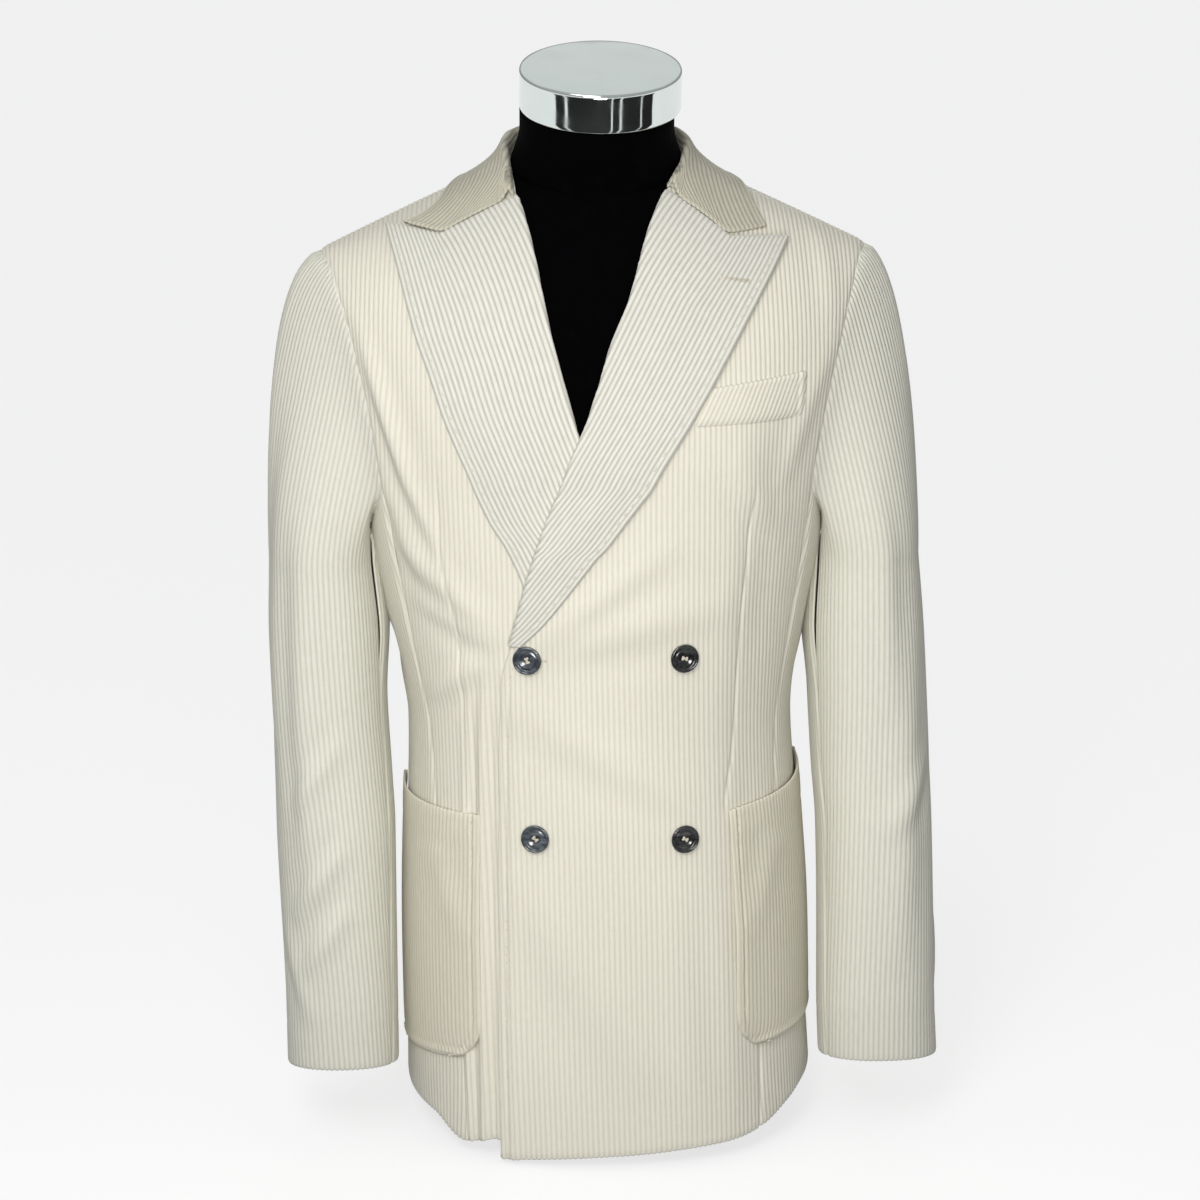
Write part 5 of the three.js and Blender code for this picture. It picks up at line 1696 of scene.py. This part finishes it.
# %% The dress form
def form_rings():
    angle = -180 + 360 * np.arange(FORM_COLUMNS) / FORM_COLUMNS
    turn = np.radians(angle)
    rings = []
    for level in [0, 3, 8, 14, 24, 36, 48, 62] + list(range(80, UNDERARM, 24)) + [UNDERARM]:
        ring = skin(angle, level, -REST)
        ring[:, :2] *= form_foot("scale", level)
        ring[:, 2] = level
        rings.append(ring)
    base = rings[-1]
    foot = stack(NECK_CENTRE[0] + NECK_RADIUS * np.sin(turn), NECK_CENTRE[1] - NECK_RADIUS * np.cos(turn), 0)
    for climb in np.linspace(0.05, 1, 20):
        ring = mix(base, foot, climb)
        ring[:, 2] = shoulders_over(ring[:, 0], ring[:, 1]) - REST * 1.6
        rings.append(ring)
    top_of_trunk = rings[-1][:, 2]
    for share in np.linspace(0.04, 1, 18):
        flare = 1 + NECK_FLARE * (1 - smooth(0.1, 0.75, share))
        x = NECK_CENTRE[0] + (foot[:, 0] - NECK_CENTRE[0]) * flare
        y = foot[:, 1] - 10 * smooth(0, 1, share)
        top = CAP_BASE[2] - 0.5 + math.tan(math.radians(CAP_TILT)) * (y - CAP_BASE[1])
        rings.append(stack(x, y, mix(top_of_trunk, top, share**1.3)))
    return rings


rings = form_rings()
form = new_mesh("form_jersey", np.concatenate(rings), ring_faces(len(rings), FORM_COLUMNS, True, True), JERSEY)
print("rings of the form:", len(rings))

# %% [markdown]
# The cap is spun metal: a disc with a drawn rim. Its top is very slightly
# crowned and its edges are rolled, so they catch a thin bright line.

# %% The neck cap
CAP_COLUMNS = 160
CAP_PROFILE = [
    (0, 0.3), (CAP_RADIUS - 3, 0.3), (CAP_RADIUS - 1.2, 0.2), (CAP_RADIUS - 0.3, 0.7), (CAP_RADIUS, 1.6),
    (CAP_RADIUS, 4), (CAP_RADIUS - 0.15, 16), (CAP_RADIUS, CAP_HEIGHT - 4), (CAP_RADIUS - 0.1, CAP_HEIGHT - 2.2),
    (CAP_RADIUS - 0.7, CAP_HEIGHT - 0.9), (CAP_RADIUS - 2, CAP_HEIGHT - 0.3), (CAP_RADIUS - 4, CAP_HEIGHT - 0.1),
    (CAP_RADIUS * 0.6, CAP_HEIGHT + 0.25), (CAP_RADIUS * 0.3, CAP_HEIGHT + 0.4), (0.5, CAP_HEIGHT + 0.45),
]


def lathe(profile, columns):
    turn = 2 * math.pi * np.arange(columns) / columns
    return np.concatenate([stack(r * np.cos(turn), r * np.sin(turn), z) for r, z in profile])


def tipped(points, tilt, base):
    """Leans points forward about X, and sets them on their base."""
    c, s = math.cos(math.radians(tilt)), math.sin(math.radians(tilt))
    x, y, z = points[:, 0], points[:, 1], points[:, 2]
    return stack(x, c * y - s * z, s * y + c * z) + base


cap_points = tipped(lathe(CAP_PROFILE, CAP_COLUMNS), CAP_TILT, CAP_BASE)
cap = new_mesh("neck_cap_metal", cap_points, ring_faces(len(CAP_PROFILE), CAP_COLUMNS, True, True), CHROME)
print("top of the cap, mm:", round(float(cap_points[:, 2].max())))

# %% [markdown]
# Each button is turned from dark horn: a raised rim, a dished middle and four
# holes. It is sewn on with pale thread. The two at the overlap face the light and
# get a smoky horn; the two on the other side get a darker copy of the same horn,
# which is painted shade.

# %% The shape of a button
BUTTON_COLUMNS = 72
BUTTON_OUT = 0.75
HOLE_SPREAD = 2.5
HOLE_RADIUS = 1.05
BUTTON_PROFILE = [
    (0.01, 0.1), (9.0, 0.1), (10.4, 0.5), (11.2, 1.3), (11.35, 2.0), (11.1, 2.8), (10.5, 3.25), (9.8, 3.2),
    (9.2, 2.7), (8.8, 1.9), (8.2, 1.45), (7.4, 1.5), (6.6, 1.95), (5.9, 1.9), (5.2, 1.4), (0.01, 1.2),
]
BUTTONS = {
    "button_top_right": (-16.7, 426.3, SMOKY_HORN, 20), "button_top_left": (17.6, 426.3, SHADED_HORN, 75),
    "button_low_right": (-17.1, 280.2, SMOKY_HORN, 48), "button_low_left": (17.7, 278.1, SHADED_HORN, 62),
}
print("widest ring of a button, mm:", 2 * max(radius for radius, height in BUTTON_PROFILE))

# %% [markdown]
# A thread is a thin tube along a path, drawn in at both ends. Many threads go
# into one mesh, because hundreds of separate objects would be slow to handle.

# %% Threads
def tube(path, radius, sides=7):
    """Points and faces of a thin thread along a path."""
    path = np.asarray(path, float)
    run = unit(np.gradient(path, axis=0))
    spare = np.array([0.0, 0.0, 1.0]) if abs(run[0][2]) < 0.9 else np.array([1.0, 0.0, 0.0])
    side = unit(np.cross(run, spare))
    up = np.cross(side, run)
    turn = 2 * math.pi * np.arange(sides) / sides
    thick = radius * np.array([0.35] + [1.0] * (len(path) - 2) + [0.35])
    points = [p + t * (np.cos(turn)[:, None] * a + np.sin(turn)[:, None] * b)
              for p, a, b, t in zip(path, side, up, thick)]
    return np.concatenate(points), ring_faces(len(path), sides, True, True)


def joined(parts):
    points, faces, count = [], [], 0
    for some, their in parts:
        points.append(some)
        faces += [tuple(i + count for i in face) for face in their]
        count += len(some)
    return np.concatenate(points), faces


print("points of a short thread:", len(tube([(0, 0, 0), (1, 0, 0), (2, 0, 0)], 0.4)[0]))

# %% [markdown]
# Buttons are drawn flat, and then laid on the front where they are sewn. Two
# opposite sides of the square of holes carry two strands of thread each, a cross
# lies over them, and a short shank of thread holds the button off the cloth.

# %% A button's thread
def spun(points, spin):
    c, s = math.cos(math.radians(spin)), math.sin(math.radians(spin))
    return c * points[:, :1] - s * points[:, 1:2], s * points[:, :1] + c * points[:, 1:2]


def on_cloth(points, angle, level, out, spin):
    """Lays flat-drawn points on the front: x to the wearer's left, y up, z out."""
    normal = trunk_normal(angle, level)
    right = unit(np.cross(np.array([0, 0, 1.0]), normal))
    x, y = spun(points, spin)
    return skin(angle, level, out) + x * right + y * np.cross(normal, right) + points[:, 2:3] * normal


def button_threads():
    parts = []
    hole = HOLE_SPREAD / math.sqrt(2)
    for y in (-hole, hole):
        for shift in (-0.35, 0.35):
            x = np.linspace(-hole, hole, 9)
            z = 1.15 + 0.75 * np.sin(np.linspace(0.25, math.pi - 0.25, 9))
            parts.append(tube(stack(x, y + shift, z), 0.36))
    x = np.linspace(-hole, hole, 9)
    for sign in (1, -1):
        z = 1.3 + 0.7 * np.sin(np.linspace(0.25, math.pi - 0.25, 9))
        parts.append(tube(stack(x, sign * x, z), 0.36))
    for turn in np.linspace(0, 2 * math.pi, 5)[:-1]:
        shank = stack([1.4 * math.cos(turn)] * 3, [1.4 * math.sin(turn)] * 3, [-1.4, -0.6, 0.4])
        parts.append(tube(shank, 0.7))
    return joined(parts)


print("faces of a button's thread:", len(button_threads()[1]))

# %% [markdown]
# The holes could be cut out of the disc, but they are a millimetre wide and full
# of thread. A small near-black dish at each one is painted shade for the hole, and
# keeps the disc whole.

# %% A button's holes
def button_holes():
    parts = []
    for turn in (45, 135, 225, 315):
        centre = HOLE_SPREAD * np.array([math.cos(math.radians(turn)), math.sin(math.radians(turn)), 0])
        rings = lathe([(HOLE_RADIUS + 0.35, 1.26), (HOLE_RADIUS, 1.36), (HOLE_RADIUS - 0.2, 1.2), (0.05, 1.24)], 16)
        parts.append((rings + centre, ring_faces(4, 16, False, True)))
    return joined(parts)


# near-black colour: painted shade in the button holes
HOLE_DARK, tree, bsdf = shader("hole_shadow")
placed = placed_group(tree, horn_grain, Dark=linear(8, 8, 8), Pale=linear(22, 22, 22))
tree.links.new(placed.outputs["Colour"], bsdf.inputs["Base Color"])
bsdf.inputs["Roughness"].default_value = 0.6
print("faces of a button's holes:", len(button_holes()[1]))

# %% [markdown]
# Each button is set on the front at its own angle and level, and turned a little
# on its thread, since nobody sews four buttons on at the same turn.

# %% Sew on the buttons
for name, (angle, level, finish, spin) in BUTTONS.items():
    out = lift_at(angle, level) + WALL + BUTTON_OUT
    new_mesh(f"{name}_horn", on_cloth(lathe(BUTTON_PROFILE, BUTTON_COLUMNS), angle, level, out, spin),
             ring_faces(len(BUTTON_PROFILE), BUTTON_COLUMNS, True, True), finish)
    points, faces = button_holes()
    new_mesh(f"{name}_holes", on_cloth(points, angle, level, out, spin), faces, HOLE_DARK)
    points, faces = button_threads()
    new_mesh(f"{name}_thread", on_cloth(points, angle, level, out, spin), faces, THREAD)
print("buttons:", len(BUTTONS))

# %% [markdown]
# The edges are pick stitched by hand, about 6 mm in. Each stitch is a short
# thread that sinks into the pile, so only its middle shows. They are laid along
# the front, both lapels and the sides of the pockets.

# %% Stitches along an edge
def edge_stitches(draft, rows, side, inset=STITCH_IN, out=0.25):
    """side 0 is a piece's left edge, 1 its right one."""
    parts = []
    for v in rows:
        u = draft.bounds(v)[side] + (inset if side == 0 else -inset)
        ends = np.array([v - STITCH_LENGTH / 2, v, v + STITCH_LENGTH / 2])
        shift = [draft.bounds(e)[side] - draft.bounds(v)[side] for e in ends]
        place, normal = draft.surface(np.array([[u + s] for s in shift]), ends)
        path = place[:, 0] + normal[:, 0] * (out + np.array([-0.35, 0.1, -0.35])[:, None])
        parts.append(tube(path, 0.42, 5))
    return parts


stitches = edge_stitches(over_front, np.arange(20, 425, STITCH_STEP), 0)
stitches += edge_stitches(lapel_draft[1], np.arange(452, 726, STITCH_STEP), 1, out=1.1)
stitches += edge_stitches(lapel_draft[-1], np.arange(480, 728, STITCH_STEP), 1, out=1.1)
for where, pocket in POCKETS.items():
    pocket_draft = Draft(pocket_line(pocket), lambda v, w: 0.0)
    for side in (0, 1):
        stitches += edge_stitches(pocket_draft, np.arange(34, 196, STITCH_STEP), side)
points, faces = joined(stitches)
new_mesh("pick_stitches", points, faces, THREAD)
print("pick stitches:", len(stitches))

# %% [markdown]
# A buttonhole is a slot whose lips are bound by close stitches, with a bar across
# each end. There is one on the lapel, and one beside each fastened button, mostly
# hidden by it.

# %% Buttonholes
def buttonhole(length):
    parts = []
    for x in np.arange(-length / 2, length / 2, 0.62):
        wobble = 0.12 * math.sin(5 * x)
        for sign in (1, -1):
            y = sign * np.array([0.15, 0.8, 1.5 + wobble])
            parts.append(tube(stack([x, x, x + 0.1], y, [0.1, 0.42, -0.1]), 0.33, 5))
    for x in (-length / 2, length / 2):
        parts.append(tube(stack([x] * 5, np.linspace(-1.6, 1.6, 5), [0, 0.5, 0.6, 0.5, 0]), 0.5, 6))
    return joined(parts)


def laid_on(draft, points, u, v, out, spin):
    place, normal = draft.surface(np.array([[u]]), [v])
    above = draft.surface(np.array([[u]]), [v + 4])[0]
    origin, normal = place[0, 0], normal[0, 0]
    up = unit(above[0, 0] - origin)
    x, y = spun(points, spin)
    return origin + x * np.cross(up, normal) + y * up + (points[:, 2:3] + out) * normal


points, faces = buttonhole(23)
new_mesh("lapel_buttonhole", laid_on(lapel_draft[1], points, -27, 683, 1.0, 28), faces, THREAD)
for name, angle, level in (("top", -15.2, 426.3), ("low", -18.8, 280.2)):
    points, faces = buttonhole(21)
    new_mesh(f"buttonhole_{name}", laid_on(over_front, points, round_to(angle, level), level, 0.2, 0), faces, THREAD)
print("stitches of a buttonhole:", len(np.arange(-21 / 2, 21 / 2, 0.62)) * 2)

# %% [markdown]
# Now each piece is tied to the frame. Every cloth stands for its CAD solid.

# %% What each cloth stands for
PAIRS = (("front", "front_cord"), ("back", "panel_cord"), ("side", "panel_cord"),
         ("top_sleeve", "sleeve_cord"), ("under_sleeve", "sleeve_cord"))
CLOTH = {f"{name}_{where}": finish for name, finish in PAIRS for where in ("left", "right")}
CLOTH.update(collar="collar_cord", lapel_left="lapel_cord", lapel_right="lapel_cord",
             patch_pocket_left="pocket_cord", patch_pocket_right="pocket_cord", breast_welt="pocket_cord")
RESTS = {f"{name}_{where}": f"front_{where}_cloth" for name in ("lapel", "patch_pocket") for where in ("left", "right")}
RESTS["breast_welt"] = "front_left_cloth"
print("sheets of cloth:", len(CLOTH))

# %% [markdown]
# Everything rides on the one body, since nothing of a buttoned jacket moves by
# itself.

# %% Tie the pieces to the frame
for piece in pieces.values():
    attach(piece, "root")
for node, finish in CLOTH.items():
    piece = pieces[f"{node}_cloth"]
    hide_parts(node)
    width, length, area = piece["cut"]
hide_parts("form_torso")
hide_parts("neck_cap")
for name in BUTTONS:
    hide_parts(name)
print("pieces:", len(pieces))

# %% [markdown]
# A plain pale floor, as in a shop's photo booth. It glows a little by itself, so
# that it stays an even tone right to the horizon. It sends no light back to the
# jacket, or the hem would look lit from below.

# %% The floor
scene = bpy.context.scene
scene.view_settings.view_transform = "Standard"
FLOOR, tree, bsdf = shader("floor")
bsdf.inputs["Base Color"].default_value = linear(140, 140, 140)
bsdf.inputs["Roughness"].default_value = 0.9
bsdf.inputs["Specular IOR Level"].default_value = 0.0
bsdf.inputs["Emission Color"].default_value = (1, 1, 1, 1)
bsdf.inputs["Emission Strength"].default_value = 0.715
bpy.ops.mesh.primitive_plane_add(size=60, location=(0, 0, -0.0005))
floor = bpy.context.object
floor.name = "studio_floor"
floor.data.materials.append(FLOOR)
floor.visible_diffuse = False
print("glow of the floor:", bsdf.inputs["Emission Strength"].default_value)

# %% [markdown]
# The sky fills the shadows. A plain colour would fill them all alike, so it's
# brighter overhead than at the horizon, as a room with a pale ceiling is.

# %% The sky
world = bpy.data.worlds.new("studio")
scene.world = world
world.use_nodes = True
nodes, links = world.node_tree.nodes, world.node_tree.links
sky = nodes["Background"]
sky.inputs["Color"].default_value = (0.985, 0.99, 1, 1)
direction = nodes.new("ShaderNodeTexCoord")
split = nodes.new("ShaderNodeSeparateXYZ")
climb = nodes.new("ShaderNodeMapRange")
for socket, value in (("From Min", -0.4), ("From Max", 0.5), ("To Min", 0.16), ("To Max", 0.42)):
    climb.inputs[socket].default_value = value
links.new(direction.outputs["Generated"], split.inputs[0])
links.new(split.outputs["Z"], climb.inputs["Value"])
links.new(climb.outputs["Result"], sky.inputs["Strength"])
print("sky overhead:", climb.inputs["To Max"].default_value, "and below:", climb.inputs["To Min"].default_value)

# %% [markdown]
# A soft light from above shapes the shoulders, and an even one from behind keeps
# the back from going dark. Two banks stand in front: a high one on the wearer's
# right, which rakes across the wales, and a low one for the hem.

# %% Lamps
def area_light(name, place, aim, size, power, colour):
    data = bpy.data.lights.new(name, "AREA")
    data.shape, data.size, data.size_y, data.energy = "RECTANGLE", size[0], size[1], power
    data.color = colour
    lamp = bpy.data.objects.new(name, data)
    scene.collection.objects.link(lamp)
    lamp.location = place
    lamp.rotation_euler = (Vector(aim) - Vector(place)).to_track_quat("-Z", "Y").to_euler()
    return lamp


def far_light(name, direction, power, angle, colour):
    data = bpy.data.lights.new(name, "SUN")
    data.energy, data.angle, data.color = power, math.radians(angle), colour
    lamp = bpy.data.objects.new(name, data)
    scene.collection.objects.link(lamp)
    lamp.rotation_euler = Vector(direction).to_track_quat("-Z", "Y").to_euler()
    return lamp


DAYLIGHT, PAPER_WHITE = (0.94, 0.97, 1.0), (1.0, 0.99, 0.97)
far_light("booth_top", (0.3, 0.6, -1), 0.56, 28, DAYLIGHT)
back_fill = far_light("back_fill", (-0.15, -1, -0.18), 1.0, 40, PAPER_WHITE)
back_fill.visible_glossy = False
CHEST = (0, 0, 0.5)
area_light("front_bank", (-0.38, -1.5, 1.34), CHEST, (0.5, 0.5), 10.5, PAPER_WHITE)
area_light("low_bank", (-0.06, -1.45, 0.5), CHEST, (0.4, 0.3), 8.6, PAPER_WHITE)
print("lamps:", len(bpy.data.lights))

# %% [markdown]
# Bright metal shows what stands round it. In front of a shop's stand that is a
# dark room, so the cap's band is black in the middle and white at both sides.
# Dark strips on the floor, which only reflections see, do the same. A model of
# the room would give more, but for one small band it isn't worth it.

# %% Dark strips for the cap to reflect
CARD_NEAR, CARD_FAR = 0.5, 4.0
CARD_STRIPS = ((-72, -57), (-53, 14), (16, 27), (30, 60), (62, 80))
card_points, card_faces = [], []
for start_angle, end_angle in CARD_STRIPS:
    sweep = np.radians(np.linspace(start_angle, end_angle, 13))
    first = sum(len(part) for part in card_points)
    card_points += [stack(r * np.sin(sweep), -r * np.cos(sweep), 0.001) for r in (CARD_NEAR, CARD_FAR)]
    card_faces += [(first + k, first + k + 1, first + 14 + k, first + 13 + k) for k in range(12)]
card_mesh = bpy.data.meshes.new("dark_card")
card_mesh.from_pydata(np.concatenate(card_points).tolist(), [], card_faces)
CARD, tree, bsdf = shader("dark_card")
bsdf.inputs["Base Color"].default_value = linear(6, 5, 8)
bsdf.inputs["Roughness"].default_value = 1.0
card_mesh.materials.append(CARD)
print("dark strips:", len(CARD_STRIPS))

# %% [markdown]
# The cap's flat top mirrors what is above and behind the stand. A card there
# glows by itself, though it is no lamp of the room, and gives the top a soft grey:
# a painted reflection. Both cards are seen by reflections alone, so they cast no
# shadow and light no cloth.

# %% A glowing card overhead
LAMP_CARD, tree, bsdf = shader("overhead_glow_card")
bsdf.inputs["Base Color"].default_value = (0, 0, 0, 1)
bsdf.inputs["Emission Color"].default_value = (0.98, 1, 1, 1)
# its glow is seen only in reflections: a painted reflection on the cap's top
bsdf.inputs["Emission Strength"].default_value = 0.66
lamp_mesh = bpy.data.meshes.new("overhead_glow_card")
lamp_mesh.from_pydata([(-2.5, 0.6, 3.4), (2.5, 0.6, 3.4), (2.5, 5, 3.4), (-2.5, 5, 3.4)], [], [(0, 1, 2, 3)])
lamp_mesh.materials.append(LAMP_CARD)
for mesh in (card_mesh, lamp_mesh):
    card = bpy.data.objects.new(mesh.name, mesh)
    scene.collection.objects.link(card)
    card.visible_camera = card.visible_diffuse = card.visible_shadow = False
print("cards:", card_mesh.name, lamp_mesh.name)

# %% [markdown]
# The camera stands where the photograph's did: a little to the wearer's right,
# looking down 15 degrees. A long lens from almost three metres keeps the near
# and the far side of the jacket about the same size, as in a shop's picture.

# %% Camera
LOOKS_AT, AWAY = Vector((-0.004, 0, 0.436)), 2.7
turn, pitch = math.radians(-2.5), math.radians(15)
toward = Vector((math.sin(turn) * math.cos(pitch), -math.cos(turn) * math.cos(pitch), math.sin(pitch)))
lens = bpy.data.cameras.new("booth_camera")
lens.sensor_width, lens.lens = 36, 99.4
camera = bpy.data.objects.new("booth_camera", lens)
scene.collection.objects.link(camera)
camera.location = LOOKS_AT + AWAY * toward
camera.rotation_euler = (-toward).to_track_quat("-Z", "Y").to_euler()
scene.camera = camera
print("camera at, m:", [round(value, 2) for value in camera.location])
